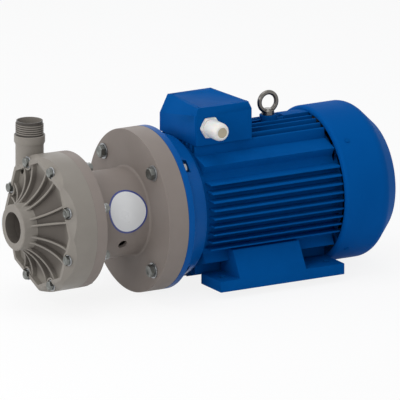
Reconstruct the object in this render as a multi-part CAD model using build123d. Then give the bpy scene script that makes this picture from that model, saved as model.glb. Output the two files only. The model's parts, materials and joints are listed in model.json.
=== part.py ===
from build123d import *

import os
from math import cos, radians, sin, sqrt, tan

# Magnetic-drive centrifugal pump in moulded plastic on a foot and flange mounted motor.
# X runs along the shaft from the suction port (-X) to the fan (+X), Z is up.
# The origin is the centre of the four foot bolts, on the plane under the feet.
# Angles round the shaft are counted from the top towards -Y, where the cable gland is.

# Motor frame, after the 160L foot and flange size
shaft_height = 160.0
foot_pitch_x = 254.0
foot_pitch_y = 254.0
foot_hole_radius = 7.5
shoulder_to_foot_hole = 108.0
motor_flange_radius = 175.0
motor_flange_thickness = 15.0
flange_bolt_circle = 150.0
flange_bolt_radius = 8.0
flange_bolt_hole_play = 1.0
spigot_radius = 125.0
spigot_height = 5.0
shaft_end_radius = 21.0
shaft_end_length = 110.0

# Fits and running gaps
slide_fit = 0.05
shaft_fit = 0.03
seal_fit = 0.3
axial_play = 1.5

# Stator frame and its fins
frame_wall = 9.0
frame_length = 331.0
fin_start_gap = 15.0
fin_tip_radius = 156.4
fin_thickness = 4.0
side_fin_pitch = 17.8
side_fin_count = 9
top_fin_pitch = 18.0
top_fin_count = 7
shoulder_wall_y = 72.0
pad_wall_y = 105.0
pad_wall_top = 89.3
pad_corner = (115.3, 105.7)
pad_slope_end = (76.0, 118.5)

# Drive end shield
shield_shoulder_radius = 163.0
shield_rear_radius = 150.0
shield_length = 57.8
shield_wall = 12.0
nut_pocket_radius = 15.2
nut_pocket_depth = 19.0

# Bearings, both ends alike
bearing_outer_radius = 50.0
bearing_bore_radius = 22.5
bearing_width = 25.0
bearing_race = 7.0
ball_radius = 8.4
ball_count = 8
housing_wall = 12.0
front_bearing_from_shoulder = 42.8
rear_bearing_inset = 36.0

# Stator and rotor
core_length = 200.0
core_bore_radius = 78.0
air_gap = 0.6
winding_overhang = 34.0
winding_outer_radius = 119.0
winding_inner_radius = 85.0
end_ring_length = 16.0
rotor_shaft_radius = 27.5
rear_shaft_radius = 17.5

# Cooling fan and cowl
fan_radius = 140.0
fan_hub_radius = 30.0
fan_hub_length = 48.0
fan_disc_offset = 28.0
fan_blade_length = 40.0
fan_blade_count = 7
fan_blade_thickness = 4.0
fan_disc_thickness = 4.0
fan_gap = 6.0
cowl_radius = 167.9
cowl_wall = 2.0
cowl_straight = 82.6
cowl_length = 142.7
cowl_shoulder_length = 18.0
cowl_shoulder_round = 30.0
cowl_lip_gap = 1.2
cowl_lip_round = 7.5
cowl_end_radius = 127.6
grille_ring_pitch = 11.0
grille_slot_width = 6.5
grille_spoke_width = 9.0
grille_spoke_count = 6
grille_hub_radius = 22.0
cowl_screw_inset = 27.8
cowl_screw_radius = 3.0
rear_shield_flange = 10.0
ear_width = 24.0
ear_start = 9.0
ear_past_screw = 8.0

# Feet
foot_inner_y = 78.0
foot_outer_y = 163.0
foot_half_length = 151.0
foot_thickness = 24.0
foot_web_front = -103.7
foot_web_rear = 58.0
foot_web_top_y = 130.0
foot_web_top = 80.0
foot_screw_radius = 6.0
foot_screw_y = 92.0
foot_screw_spacing = 110.0
foot_screw_grip = 40.0

# Terminal box
box_front = -162.8
box_rear = -27.3
box_half_width = 78.7
box_seat_height = 141.0
box_seam_height = 206.0
box_wall = 4.5
box_lid_rise_near = 18.0
box_lid_rise_far = 13.0
box_bevel_front_near = 2.3
box_bevel_front_far = -25.4
box_bevel_rear_near = 2.5
box_bevel_rear_far = -10.0
box_top_inset_front_near = 4.4
box_top_inset_front_far = 19.3
box_top_inset_rear_near = 7.8
box_top_inset_rear_far = 11.8
box_wire_hole_radius = 22.0
box_seat_half_width = 56.0
lid_screw_radius = 2.5
lid_screw_inset = 11.0
lid_screw_far_shift = 17.0
lid_screw_head = 5.0
lid_screw_grip = 14.0
lid_post_depth = 22.0

# Cable gland
gland_x = -130.8
gland_below_seam = 26.0
gland_across_flats = 42.0
gland_hex_thickness = 8.0
gland_thread_radius = 16.0
gland_thread_length = 12.0
gland_dome_radius = 19.5
gland_reach = 55.3
gland_plug_radius = 11.0

# Lifting eye bolt
eye_x = 56.8
eye_seat_height = 165.7
eye_ring_outer = 25.4
eye_ring_inner = 15.4
eye_collar_radius = 13.5
eye_collar_height = 9.0
eye_height = 53.0
eye_thread_radius = 6.0
eye_thread_length = 20.5
eye_boss_radius = 18.0

# Smooth lifting pad on the frame, beside the cowl
lift_pad_radius = 160.0
lift_pad_length = 60.0
lift_pad_near_y = -5.0
lift_pad_far_y = 60.0

# Adapter bracket
adapter_flange_thickness = 47.2
adapter_neck_length = 133.0
adapter_neck_radius = 94.0
adapter_bore_radius = 86.0
adapter_plate_thickness = 25.0
adapter_plate_radius = 145.2
adapter_fillet = 5.0
neck_hole_radius = 10.0
neck_hole_from_flange = 61.0
neck_hole_angle = 120.25
label_radius = 46.0
label_thickness = 0.6
label_from_flange = 52.5
label_angle = 73.85

# Pump casing, lengths counted forward from the casing joint
drum_radius = 146.5
drum_draft = 1.1
rim_height = 63.0
rim_flat_radius = 131.0
rim_chamfer_height = 17.0
rim_sides = 8
casing_bolt_circle = 133.0
casing_bolt_radius = 6.0
casing_bolt_hole_play = 0.5
spot_face_radius = 13.5
bolt_seat_height = 56.5
suction_boss_radius = 49.5
suction_face_height = 122.5
suction_bore_radius = 33.25
suction_port_depth = 24.0
support_seat_depth = 42.5
support_seat_radius = 32.4
throat_radius = 31.5
dish_inner_height = 90.0
dish_middle = (80.0, 62.0)
dish_outer_radius = 134.0
dish_outer_height = 51.0
dish_core_radius = 110.0
recess_wall = 7.0
recess_draft = 1.5
boss_radius = 17.5
boss_height = 60.0
rib_half_angle = 8.3
rib_root_depth = 8.0
rib_thickness = 4.8
rib_ridge_round = 2.1
rib_ridge_start = (46.0, 112.0)
rib_ridge_middle = (74.0, 79.5)
rib_ridge_end = (128.0, 60.0)
chamber_radius = 111.0
chamber_wall = 10.0
chamber_slope_radius = 100.0
chamber_shoulder_radius = 62.0
chamber_eye_radius = 40.0
chamber_eye_height = 66.0

# Discharge pipe, heights counted from the shaft
discharge_offset_y = 89.0
discharge_height = 32.0
discharge_pipe_radius = 30.0
discharge_collar_radius = 33.0
discharge_collar_bottom = 156.5
discharge_collar_bevel = 6.5
discharge_thread_radius = 29.8
discharge_thread_bottom = 172.0
discharge_top = 202.0
discharge_bore_radius = 26.0
discharge_pipe_foot = 78.0
throat_top = 128.0
throat_bottom = 40.0
throat_bottom_radius = 15.0
throat_lean = 5.0

# Containment can and magnetic coupling
can_radius = 60.0
can_wall = 4.0
can_end_wall = 8.0
can_socket_wall = 4.0
can_flange_radius = 122.0
can_flange_thickness = 8.0
can_plug_height = 8.0
o_ring_radius = 118.0
o_ring_section = 2.0
can_to_screw_gap = 4.0
hub_inset = 2.0
hub_web = 14.8
hub_boss_radius = 36.0
hub_boss_length = 48.0
hub_cup_wall = 8.0
magnet_thickness = 8.0
magnet_to_can_gap = 4.0
magnet_count = 12
magnet_gap_degrees = 2.0
capsule_to_can_gap = 1.6
cup_front_gap = 4.0
hub_screw_radius = 8.0
hub_screw_head = 6.0
hub_washer_thickness = 5.0
hub_washer_radius = 28.0
key_width = 12.0
key_height = 8.0
key_length = 56.0
key_depth_in_shaft = 5.0

# Impeller and its shaft
impeller_radius = 95.0
impeller_back = 14.0
impeller_shroud = 4.0
impeller_outlet_width = 18.0
impeller_eye_radius = 27.0
impeller_neck_height = 70.0
impeller_shroud_middle = (60.0, 56.0)
impeller_hub_radius = 24.0
impeller_nose_radius = 17.0
impeller_nose_height = 63.0
impeller_blade_count = 6
impeller_blade_thickness = 4.0
pump_shaft_radius = 12.0
bush_wall = 4.0
bush_length = 24.0
thrust_ring_radius = 20.0
thrust_ring_thickness = 5.0
support_ring_height = 8.0
support_ring_wall = 4.0
support_hub_radius = 16.0
support_hub_length = 12.0
support_arm_count = 3
support_arm_width = 8.0

# Fasteners and small parts
casing_bolt_head = 7.5
casing_washer_radius = 12.0
casing_washer_thickness = 2.5
casing_nut_height = 10.0
flange_bolt_head = 10.0
flange_washer_radius = 17.0
flange_washer_thickness = 3.0
flange_nut_height = 13.0
bolt_end_past_nut = 3.0
hub_screw_length = 30.0
shield_screw_radius = 3.0
clip_depth = 1.2
clip_thickness = 2.0
spring_gap = 2.5
seal_length = 10.0
seal_outer_radius = 32.0
adapter_recess_radius = 112.0
foot_screw_seat = 14.0

# Stations along X that the sizes above give
motor_face_x = -(shoulder_to_foot_hole + foot_pitch_x / 2)
adapter_front_x = motor_face_x - adapter_flange_thickness
plate_back_x = adapter_front_x - adapter_neck_length
joint_x = plate_back_x - adapter_plate_thickness
flange_back_x = motor_face_x + motor_flange_thickness
support_base_x = joint_x - suction_face_height + support_seat_depth
frame_front_x = motor_face_x + shield_length
frame_rear_x = frame_front_x + frame_length
fin_front_x = frame_front_x + fin_start_gap
shaft_nose_x = motor_face_x - shaft_end_length
front_bearing_x = motor_face_x + front_bearing_from_shoulder
rear_bearing_x = frame_rear_x - rear_bearing_inset
core_middle_x = (frame_front_x + frame_rear_x) / 2 - 12.0
core_front_x = core_middle_x - core_length / 2
core_rear_x = core_middle_x + core_length / 2
rear_plate_x = frame_rear_x + rear_shield_flange
fan_x = rear_plate_x + fan_gap
cowl_rear_x = frame_rear_x + cowl_length
hub_front_x = shaft_nose_x - hub_inset
screw_front_x = hub_front_x - hub_washer_thickness - hub_screw_head
can_back_x = screw_front_x - can_to_screw_gap
can_end_x = can_back_x - can_socket_wall
can_inner_x = can_end_x - can_end_wall
can_bore_radius = can_radius - can_wall
tail_x = can_inner_x - thrust_ring_thickness - axial_play
cup_front_x = joint_x + can_flange_thickness + cup_front_gap
seal_x = front_bearing_x - 4 - seal_length
foot_middle_x = (foot_web_front + foot_web_rear) / 2
box_middle_x = (box_front + box_rear) / 2
frame_bore_radius = spigot_radius
frame_root_radius = frame_bore_radius + frame_wall
drum_joint_radius = drum_radius - drum_draft * rim_height / (rim_height + adapter_plate_thickness)
flange_bolt_angles = [45, 135, 225, 315]
casing_bolt_angles = [22.5 + 45 * step for step in range(8)]


def turned(*points):
    """Solid of revolution about the shaft through the closed outline of (x, radius) points."""
    outline = make_face(Polyline(*points, close=True))
    return Pos(0, 0, shaft_height) * revolve(outline, Axis.X)


def disc(start, end, radius):
    return turned((start, 0), (end, 0), (end, radius), (start, radius))


def ring(start, end, inner, outer):
    return turned((start, inner), (end, inner), (end, outer), (start, outer))


def torus_x(x, radius, section):
    """Ring of round section about the shaft."""
    return Pos(x, 0, shaft_height) * Rot(0, 90, 0) * Torus(radius, section)


def at(x, radius, angle):
    """Place at an angle round the shaft: local X points along +X and local Z points outwards."""
    return Pos(x, 0, shaft_height) * Rot(angle, 0, 0) * Pos(0, 0, radius)


def along(x, radius, angle):
    """The same place with local Z turned to point along +X."""
    return at(x, radius, angle) * Rot(0, 90, 0)


def post(radius, low, high):
    """Round post along local Z from low to high."""
    return Pos(0, 0, (low + high) / 2) * Cylinder(radius, high - low)


def hex_post(across_flats, low, high):
    flats = RegularPolygon(across_flats / 2, 6, major_radius=False)
    return Pos(0, 0, low) * extrude(flats, high - low)


def crowned_hex(across_flats, low, high):
    """Hexagon whose corners are turned off at both ends."""
    corner = across_flats / sqrt(3)
    edge = across_flats / 2
    bevel = (corner - edge) * tan(radians(30)) + 0.3
    outline = Polyline(
        (0, low),
        (edge - 0.3, low),
        (corner, low + bevel),
        (corner, high - bevel),
        (edge - 0.3, high),
        (0, high),
        close=True,
    )
    crown = revolve(Plane.XZ * make_face(outline), Axis.Z)
    return hex_post(across_flats, low, high) & crown


def hex_bolt(radius, across_flats, head, length):
    """Hexagon bolt along local +Z: the head's seat is at 0 and the shank reaches to length."""
    return crowned_hex(across_flats, -head, 0) + post(radius, 0, length)


def washer(radius, hole, thickness):
    return post(radius, -thickness, 0) - post(hole, -thickness, 0)


def cap_screw(radius, head_radius, head, length):
    """Socket cap screw along local +Z, its seat at 0."""
    body = post(head_radius, -head, 0) + post(radius, 0, length)
    return body - hex_post(radius * 1.6, -head, -head / 2)


def save(name, *pieces):
    """Write one node from all the solids of its pieces."""
    solids = [solid for piece in pieces for solid in piece.solids()]
    export_step(Compound(solids), f"parts/{name}.step")


# Pump casing


def ahead(*points):
    """(radius, height ahead of the casing joint) to (x, radius)."""
    return [(joint_x - height, radius) for radius, height in points]


def octagon_prism(*sections):
    """Eight-sided loft through (height ahead of the casing joint, distance to the flats) sections."""
    sides = []
    for height, apothem in sections:
        plane = Plane(origin=(joint_x - height, 0, shaft_height), x_dir=(0, 1, 0), z_dir=(1, 0, 0))
        sides.append(plane * RegularPolygon(apothem, rim_sides, major_radius=False, rotation=0))
    return loft(sides)


def dish_recess():
    """The dished hollow between the suction boss and the rim: eight-sided, with a boss at each bolt."""
    inner = (suction_boss_radius, dish_inner_height)
    outer = (dish_outer_radius, dish_outer_height)
    over = dish_inner_height + 10
    top_inner = (suction_boss_radius, over)
    top_outer = (dish_outer_radius, over)
    base = ThreePointArc(*ahead(inner, dish_middle, outer))
    sides = Polyline(*ahead(outer, top_outer, top_inner, inner))
    bowl = Pos(0, 0, shaft_height) * revolve(make_face(base + sides), Axis.X)
    wall = rim_flat_radius - recess_wall
    bounds = octagon_prism((dish_outer_height - 1, wall - recess_draft), (over, wall + recess_draft))
    bosses = [
        along(joint_x, casing_bolt_circle, angle) * post(boss_radius, -boss_height, 0)
        for angle in casing_bolt_angles
    ]
    return (bowl & bounds) - bosses


def casing_ribs():
    """Sixteen ribs in pairs, one pair to each bolt, with rounded ridges."""
    low = rib_root_depth - dish_outer_height
    points = (rib_ridge_start, rib_ridge_middle, rib_ridge_end)
    start, middle, end = [(-height, radius) for radius, height in points]
    ridge = ThreePointArc(start, middle, end)
    rest = Polyline(end, (low, end[1]), (low, start[1]), start)
    plate = extrude(Plane.XZ * make_face(ridge + rest), rib_thickness / 2, both=True)
    plate = fillet(plate.edges().filter_by(GeomType.CIRCLE), rib_ridge_round)
    ribs = []
    for angle in casing_bolt_angles:
        for side in (-rib_half_angle, rib_half_angle):
            ribs.append(at(joint_x, 0, angle + side) * plate)
    return ribs


def chamber():
    """The impeller's space: wall under the dish, then a straight outer wall to the joint."""
    over = 1.0
    outline = ahead(
        (0, -over),
        (chamber_radius, -over),
        (chamber_radius, dish_outer_height - chamber_wall),
        (chamber_slope_radius, dish_outer_height + 2 - chamber_wall),
        (dish_middle[0], dish_middle[1] - chamber_wall - 1),
        (chamber_shoulder_radius, chamber_eye_height - 6),
        (chamber_eye_radius, chamber_eye_height),
        (throat_radius, chamber_eye_height),
        (throat_radius, suction_face_height),
        (0, suction_face_height),
    )
    return turned(*outline)


def vertical(x, y, profile):
    """Solid of revolution about a vertical line, through (radius, height over the shaft) points."""
    outline = make_face(Polyline(*profile, close=True))
    return Pos(x, y, shaft_height) * revolve(Plane.XZ * outline, Axis.Z)


def discharge_pipe():
    return vertical(
        joint_x - discharge_height,
        discharge_offset_y,
        [
            (0, discharge_pipe_foot),
            (discharge_pipe_radius, discharge_pipe_foot),
            (discharge_pipe_radius, discharge_collar_bottom - discharge_collar_bevel),
            (discharge_collar_radius, discharge_collar_bottom),
            (discharge_collar_radius, discharge_thread_bottom - 1),
            (discharge_collar_radius - 1, discharge_thread_bottom),
            (discharge_thread_radius, discharge_thread_bottom),
            (discharge_thread_radius, discharge_top - 1.5),
            (discharge_thread_radius - 1.5, discharge_top),
            (0, discharge_top),
        ],
    )


def discharge_passage():
    """Bore from the port, then a cone down into the chamber."""
    x = joint_x - discharge_height
    bore = vertical(
        x,
        discharge_offset_y,
        [
            (0, throat_top),
            (discharge_bore_radius, throat_top),
            (discharge_bore_radius, discharge_top + 1),
            (0, discharge_top + 1),
        ],
    )
    wide = Pos(x, discharge_offset_y, shaft_height + throat_top) * Circle(discharge_bore_radius)
    narrow_place = Pos(x + throat_lean, discharge_offset_y, shaft_height + throat_bottom)
    narrow = narrow_place * Circle(throat_bottom_radius)
    return bore + loft([narrow, wide])


def front_casing():
    """Dished and ribbed casing with an octagonal rim, suction boss and discharge pipe."""
    back_radius = drum_joint_radius
    blank = turned(
        (joint_x, 0),
        (joint_x, back_radius),
        (joint_x - rim_height, drum_radius),
        (joint_x - rim_height, dish_core_radius),
        (joint_x - dish_inner_height - 5, dish_core_radius),
        (joint_x - dish_inner_height - 5, suction_boss_radius),
        (joint_x - suction_face_height + 2, suction_boss_radius - 0.5),
        (joint_x - suction_face_height, suction_boss_radius - 2.5),
        (joint_x - suction_face_height, 0),
    )
    slope = (drum_radius - rim_flat_radius) / rim_chamfer_height
    base_apothem = rim_flat_radius + slope * rim_height
    octagon = octagon_prism((0, base_apothem), (rim_height + 3, rim_flat_radius - slope * 3))
    rim = blank & octagon
    core = blank & disc(joint_x - suction_face_height, joint_x, dish_core_radius)
    body = rim + core + discharge_pipe() - dish_recess() + casing_ribs()
    face_x = joint_x - suction_face_height
    cuts = [
        chamber(),
        discharge_passage(),
        disc(face_x - 1, face_x + suction_port_depth, suction_bore_radius),
        disc(face_x, face_x + support_seat_depth, support_seat_radius),
        o_ring_groove(),
    ]
    hole = casing_bolt_radius + casing_bolt_hole_play
    for angle in casing_bolt_angles:
        place = along(joint_x - bolt_seat_height, casing_bolt_circle, angle)
        cuts.append(place * post(spot_face_radius, -20, 0))
        cuts.append(place * post(hole, -1, bolt_seat_height + 1))
    return body - cuts


def o_ring_groove():
    return ring(
        joint_x - o_ring_section * 2,
        joint_x + 1,
        o_ring_radius - o_ring_section - seal_fit,
        o_ring_radius + o_ring_section + seal_fit,
    )


# Inner pump end


def rear_casing():
    """Containment can: flange and plug in the casing joint, tube and closed end behind."""
    plug_radius = chamber_radius - seal_fit
    body = turned(
        (joint_x - can_plug_height, can_bore_radius),
        (joint_x - can_plug_height, plug_radius),
        (joint_x, plug_radius),
        (joint_x, can_flange_radius),
        (joint_x + can_flange_thickness, can_flange_radius),
        (joint_x + can_flange_thickness, can_radius + 3),
        (joint_x + can_flange_thickness + 3, can_radius),
        (can_end_x, can_radius),
        (can_end_x, pump_shaft_radius * 2),
        (can_back_x, pump_shaft_radius * 2 - 2),
        (can_back_x, 0),
        (can_end_x, 0),
        (can_end_x, pump_shaft_radius + slide_fit),
        (can_inner_x, pump_shaft_radius + slide_fit),
        (can_inner_x, can_bore_radius),
    )
    return body


def casing_o_ring():
    return torus_x(joint_x - o_ring_section, o_ring_radius, o_ring_section - slide_fit)


def impeller():
    """Closed impeller: back shroud, curved blades, front shroud with its neck, and the tail."""
    back = impeller_back
    floor = back + impeller_shroud
    rim = floor + impeller_outlet_width
    middle_radius, middle_height = impeller_shroud_middle
    neck = impeller_eye_radius + impeller_shroud
    shoulder = impeller_neck_height - 8
    front_shroud = turned(
        *ahead(
            (impeller_eye_radius, impeller_neck_height),
            (impeller_eye_radius, shoulder - 1),
            (middle_radius, middle_height - impeller_shroud),
            (impeller_radius, rim),
            (impeller_radius, rim + impeller_shroud),
            (middle_radius, middle_height),
            (neck, shoulder),
            (neck, impeller_neck_height),
        )
    )
    back_shroud = turned(
        *ahead(
            (0, back),
            (impeller_radius, back),
            (impeller_radius, floor),
            (impeller_hub_radius + 6, floor),
            (impeller_nose_radius, floor + 14),
            (impeller_nose_radius, impeller_nose_height),
            (0, impeller_nose_height),
        )
    )
    passage = turned(
        *ahead(
            (impeller_nose_radius, floor - 1),
            (impeller_radius, floor - 1),
            (impeller_radius, rim + 1),
            (middle_radius, middle_height - impeller_shroud + 1),
            (impeller_eye_radius, shoulder),
            (impeller_nose_radius, shoulder),
        )
    )
    inlet = impeller_eye_radius - 2
    points = []
    for radius, sweep in ((inlet, 0), ((inlet + impeller_radius) / 2, 38), (impeller_radius + 2, 78)):
        points.append((radius * sin(radians(sweep)), radius * cos(radians(sweep))))
    strip = trace(ThreePointArc(*points), line_width=impeller_blade_thickness)
    stock = Plane.YZ * strip
    blade = extrude(stock, impeller_neck_height)
    step = 360 / impeller_blade_count
    front = joint_x - impeller_neck_height
    blades = [at(front, 0, step * n) * blade for n in range(impeller_blade_count)]
    blading = passage & (blades[0] + blades[1:])
    tail = disc(joint_x - back, tail_x, impeller_hub_radius)
    body = front_shroud + back_shroud + blading + tail
    bore = pump_shaft_radius + bush_wall + slide_fit
    eye_bore = pump_shaft_radius + 1
    body -= disc(joint_x - impeller_nose_height - 1, tail_x + 1, eye_bore)
    body -= disc(tail_x - bush_length, tail_x + 1, bore)
    body -= disc(joint_x - back - 2, joint_x - back - 2 + bush_length, bore)
    return body


def impeller_bushes():
    inner = pump_shaft_radius + shaft_fit
    outer = pump_shaft_radius + bush_wall
    front = joint_x - impeller_back - 2
    return [
        ring(front, front + bush_length, inner, outer),
        ring(tail_x - bush_length, tail_x, inner, outer),
    ]


def inner_magnet_capsule():
    start = joint_x - impeller_back + 6
    outer = can_bore_radius - capsule_to_can_gap
    return turned(
        (start, impeller_hub_radius + slide_fit),
        (start, outer - 3),
        (start + 3, outer),
        (tail_x - 3, outer),
        (tail_x, outer - 3),
        (tail_x, impeller_hub_radius + slide_fit),
    )


def pump_shaft():
    nose = support_base_x - support_hub_length + 4
    chamfer = 1.5
    return turned(
        (nose, 0),
        (nose, pump_shaft_radius - chamfer),
        (nose + chamfer, pump_shaft_radius),
        (can_end_x - chamfer, pump_shaft_radius),
        (can_end_x, pump_shaft_radius - chamfer),
        (can_end_x, 0),
    )


def shaft_support():
    """Hub of the shaft's nose on three arms inside the suction throat."""
    base = support_base_x
    outer = support_seat_radius - slide_fit
    hub_front = base - support_hub_length
    hub = turned(
        (base, pump_shaft_radius + slide_fit),
        (hub_front + 4, pump_shaft_radius + slide_fit),
        (hub_front + 4, 0),
        (hub_front - 5, 0),
        (hub_front, support_hub_radius - 5),
        (hub_front + 5, support_hub_radius),
        (base, support_hub_radius),
    )
    body = hub + ring(base - support_ring_height, base, outer - support_ring_wall, outer)
    for n in range(support_arm_count):
        arm = Pos(0, 0, (outer - 1 + support_hub_radius - 2) / 2)
        arm *= Box(support_ring_height, support_arm_width, outer - 1 - support_hub_radius + 2)
        body += at(base - support_ring_height / 2, 0, 360 * n / support_arm_count) * arm
    return body


def thrust_rings():
    inner = pump_shaft_radius + slide_fit
    front = support_base_x
    return [
        ring(front, front + thrust_ring_thickness, inner, support_hub_radius - 1),
        ring(can_inner_x - thrust_ring_thickness, can_inner_x, inner, thrust_ring_radius),
    ]


def casing_fasteners():
    """Bolts, front washers, and the nuts with the washers under them."""
    seat_x = joint_x - bolt_seat_height
    grip = bolt_seat_height + adapter_plate_thickness
    thick = casing_washer_thickness
    bolts, washers, nuts = [], [], []
    flats = casing_bolt_radius * 3
    length = grip + 2 * thick + casing_nut_height + bolt_end_past_nut
    bolt = hex_bolt(casing_bolt_radius, flats, casing_bolt_head, length)
    hole = casing_bolt_radius + casing_bolt_hole_play
    plain = washer(casing_washer_radius, hole, thick)
    nut = crowned_hex(flats, 0, casing_nut_height)
    nut -= post(casing_bolt_radius + slide_fit, -1, casing_nut_height + 1)
    for angle in casing_bolt_angles:
        bolts.append(along(seat_x - thick, casing_bolt_circle, angle) * bolt)
        washers.append(along(seat_x, casing_bolt_circle, angle) * plain)
        washers.append(along(plate_back_x + thick, casing_bolt_circle, angle) * plain)
        nuts.append(along(plate_back_x + thick, casing_bolt_circle, angle) * nut)
    return bolts, washers, nuts


# Adapter


def adapter_bracket():
    """Drum plate, neck and motor flange in one moulding."""
    outline = Polyline(
        (joint_x, adapter_bore_radius),
        (joint_x, drum_joint_radius),
        (plate_back_x, adapter_plate_radius),
        (plate_back_x, adapter_neck_radius),
        (adapter_front_x, adapter_neck_radius),
        (adapter_front_x, motor_flange_radius),
        (motor_face_x, motor_flange_radius),
        (motor_face_x, spigot_radius + slide_fit),
        (motor_face_x - spigot_height - 1, spigot_radius + slide_fit),
        (motor_face_x - spigot_height - 1, adapter_recess_radius),
        (adapter_front_x + 12, adapter_recess_radius),
        (adapter_front_x + 12, adapter_bore_radius),
        close=True,
    )
    face = make_face(outline)
    corners = [
        (plate_back_x, adapter_neck_radius),
        (adapter_front_x, adapter_neck_radius),
    ]
    for corner in corners:
        vertex = face.vertices().sort_by_distance((corner[0], corner[1], 0))[0]
        face = fillet(vertex, adapter_fillet)
    edges = [(adapter_front_x, motor_flange_radius), (motor_face_x, motor_flange_radius)]
    for corner in edges:
        vertex = face.vertices().sort_by_distance((corner[0], corner[1], 0))[0]
        face = fillet(vertex, 1.0)
    body = Pos(0, 0, shaft_height) * revolve(face, Axis.X)
    cuts = [disc(joint_x - 1, joint_x + can_flange_thickness, can_flange_radius + slide_fit)]
    hole = casing_bolt_radius + casing_bolt_hole_play
    for angle in casing_bolt_angles:
        cuts.append(along(joint_x, casing_bolt_circle, angle) * post(hole, -1, adapter_plate_thickness + 1))
    hole = flange_bolt_radius + flange_bolt_hole_play
    for angle in flange_bolt_angles:
        place = along(adapter_front_x, flange_bolt_circle, angle)
        cuts.append(place * post(hole, -1, adapter_flange_thickness + 1))
    drain = at(adapter_front_x - neck_hole_from_flange, 0, neck_hole_angle)
    cuts.append(drain * post(neck_hole_radius, adapter_bore_radius - 10, adapter_neck_radius + 10))
    return body - cuts


def label_disc():
    """Thin round label that follows the neck."""
    skin = ring(
        adapter_front_x - label_from_flange - label_radius - 1,
        adapter_front_x - label_from_flange + label_radius + 1,
        adapter_neck_radius,
        adapter_neck_radius + label_thickness,
    )
    stamp = at(adapter_front_x - label_from_flange, 0, label_angle)
    return skin & (stamp * post(label_radius, adapter_neck_radius / 2, adapter_neck_radius + 5))


def flange_fasteners():
    thick = flange_washer_thickness
    flats = flange_bolt_radius * 3
    grip = adapter_flange_thickness + motor_flange_thickness
    length = grip + thick + flange_nut_height + bolt_end_past_nut
    bolt = hex_bolt(flange_bolt_radius, flats, flange_bolt_head, length)
    plain = washer(flange_washer_radius, flange_bolt_radius + flange_bolt_hole_play, thick)
    nut = crowned_hex(flats, 0, flange_nut_height)
    nut -= post(flange_bolt_radius + slide_fit, -1, flange_nut_height + 1)
    bolts, washers, nuts = [], [], []
    for angle in flange_bolt_angles:
        bolts.append(along(adapter_front_x - thick, flange_bolt_circle, angle) * bolt)
        washers.append(along(adapter_front_x, flange_bolt_circle, angle) * plain)
        nuts.append(along(flange_back_x, flange_bolt_circle, angle) * nut)
    return bolts, washers, nuts


# Outer half of the coupling, on the motor shaft


def drive_magnet_hub():
    cup_inner = can_radius + magnet_to_can_gap + magnet_thickness + slide_fit
    cup_outer = cup_inner + hub_cup_wall
    web_back = hub_front_x + hub_web
    body = turned(
        (cup_front_x, cup_inner),
        (cup_front_x, cup_outer),
        (web_back - 4, cup_outer),
        (web_back, cup_outer - 4),
        (web_back, hub_boss_radius),
        (web_back + hub_boss_length, hub_boss_radius),
        (web_back + hub_boss_length, shaft_end_radius + slide_fit),
        (hub_front_x, shaft_end_radius + slide_fit),
        (hub_front_x, cup_inner - magnet_thickness - 4),
        (can_back_x + 2, cup_inner - magnet_thickness - 4),
        (can_back_x + 2, cup_inner),
    )
    slot_height = key_height - key_depth_in_shaft + shaft_end_radius + 0.2
    slot = Pos(0, 0, slot_height / 2) * Box(hub_web + hub_boss_length + 2, key_width + 2 * shaft_fit, slot_height)
    return body - at((hub_front_x + web_back + hub_boss_length) / 2, 0, 0) * slot


def drive_magnets():
    """Magnet segments in a row round the inside of the cup."""
    inner = can_radius + magnet_to_can_gap
    outer = inner + magnet_thickness
    sleeve = ring(cup_front_x + 2, can_back_x - 4, inner, outer)
    span = 360 / magnet_count
    gap = Pos(0, 0, outer) * Box(2 * adapter_neck_length, 2 * outer * tan(radians(magnet_gap_degrees / 2)), 4 * outer)
    slits = [at((cup_front_x + can_back_x) / 2, 0, 0) * Rot(span * n, 0, 0) * Pos(0, 0, outer) * gap for n in range(magnet_count)]
    return sleeve - slits


def hub_screw():
    seat = hub_front_x - hub_washer_thickness
    screw = hex_bolt(hub_screw_radius, hub_screw_radius * 3, hub_screw_head, hub_screw_length)
    return along(seat, 0, 0) * screw


def hub_washer():
    return along(hub_front_x, 0, 0) * washer(hub_washer_radius, hub_screw_radius + 0.5, hub_washer_thickness)


def shaft_key():
    start = shaft_nose_x + 3
    rounded = Pos(0, 0, shaft_end_radius - key_depth_in_shaft) * extrude(
        SlotOverall(key_length, key_width), key_height
    )
    return at(start + key_length / 2, 0, 0) * rounded


def motor_shaft():
    """Stepped shaft: keyed end, bearing seats, rotor seat and fan seat with a ring groove."""
    clip = fan_x + fan_hub_length
    seat_end = front_bearing_x + bearing_width
    body = turned(
        (shaft_nose_x, 0),
        (shaft_nose_x, shaft_end_radius - 2),
        (shaft_nose_x + 2, shaft_end_radius),
        (motor_face_x, shaft_end_radius),
        (motor_face_x, bearing_bore_radius - shaft_fit),
        (seat_end, bearing_bore_radius - shaft_fit),
        (seat_end, rotor_shaft_radius),
        (rear_bearing_x, rotor_shaft_radius),
        (rear_bearing_x, bearing_bore_radius - shaft_fit),
        (rear_bearing_x + bearing_width + 3, bearing_bore_radius - shaft_fit),
        (rear_bearing_x + bearing_width + 3, rear_shaft_radius),
        (clip, rear_shaft_radius),
        (clip, rear_shaft_radius - clip_depth),
        (clip + clip_thickness, rear_shaft_radius - clip_depth),
        (clip + clip_thickness, rear_shaft_radius),
        (clip + 8, rear_shaft_radius),
        (clip + 9, rear_shaft_radius - 1),
        (clip + 9, 0),
    )
    start = shaft_nose_x + 3
    slot = Pos(0, 0, shaft_end_radius - key_depth_in_shaft) * extrude(
        SlotOverall(key_length + 2 * shaft_fit, key_width + 2 * shaft_fit), key_height
    )
    body -= at(start + key_length / 2, 0, 0) * slot
    body -= along(shaft_nose_x, 0, 0) * post(hub_screw_radius + slide_fit, -1, hub_screw_length)
    return body


# Bearings


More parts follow.
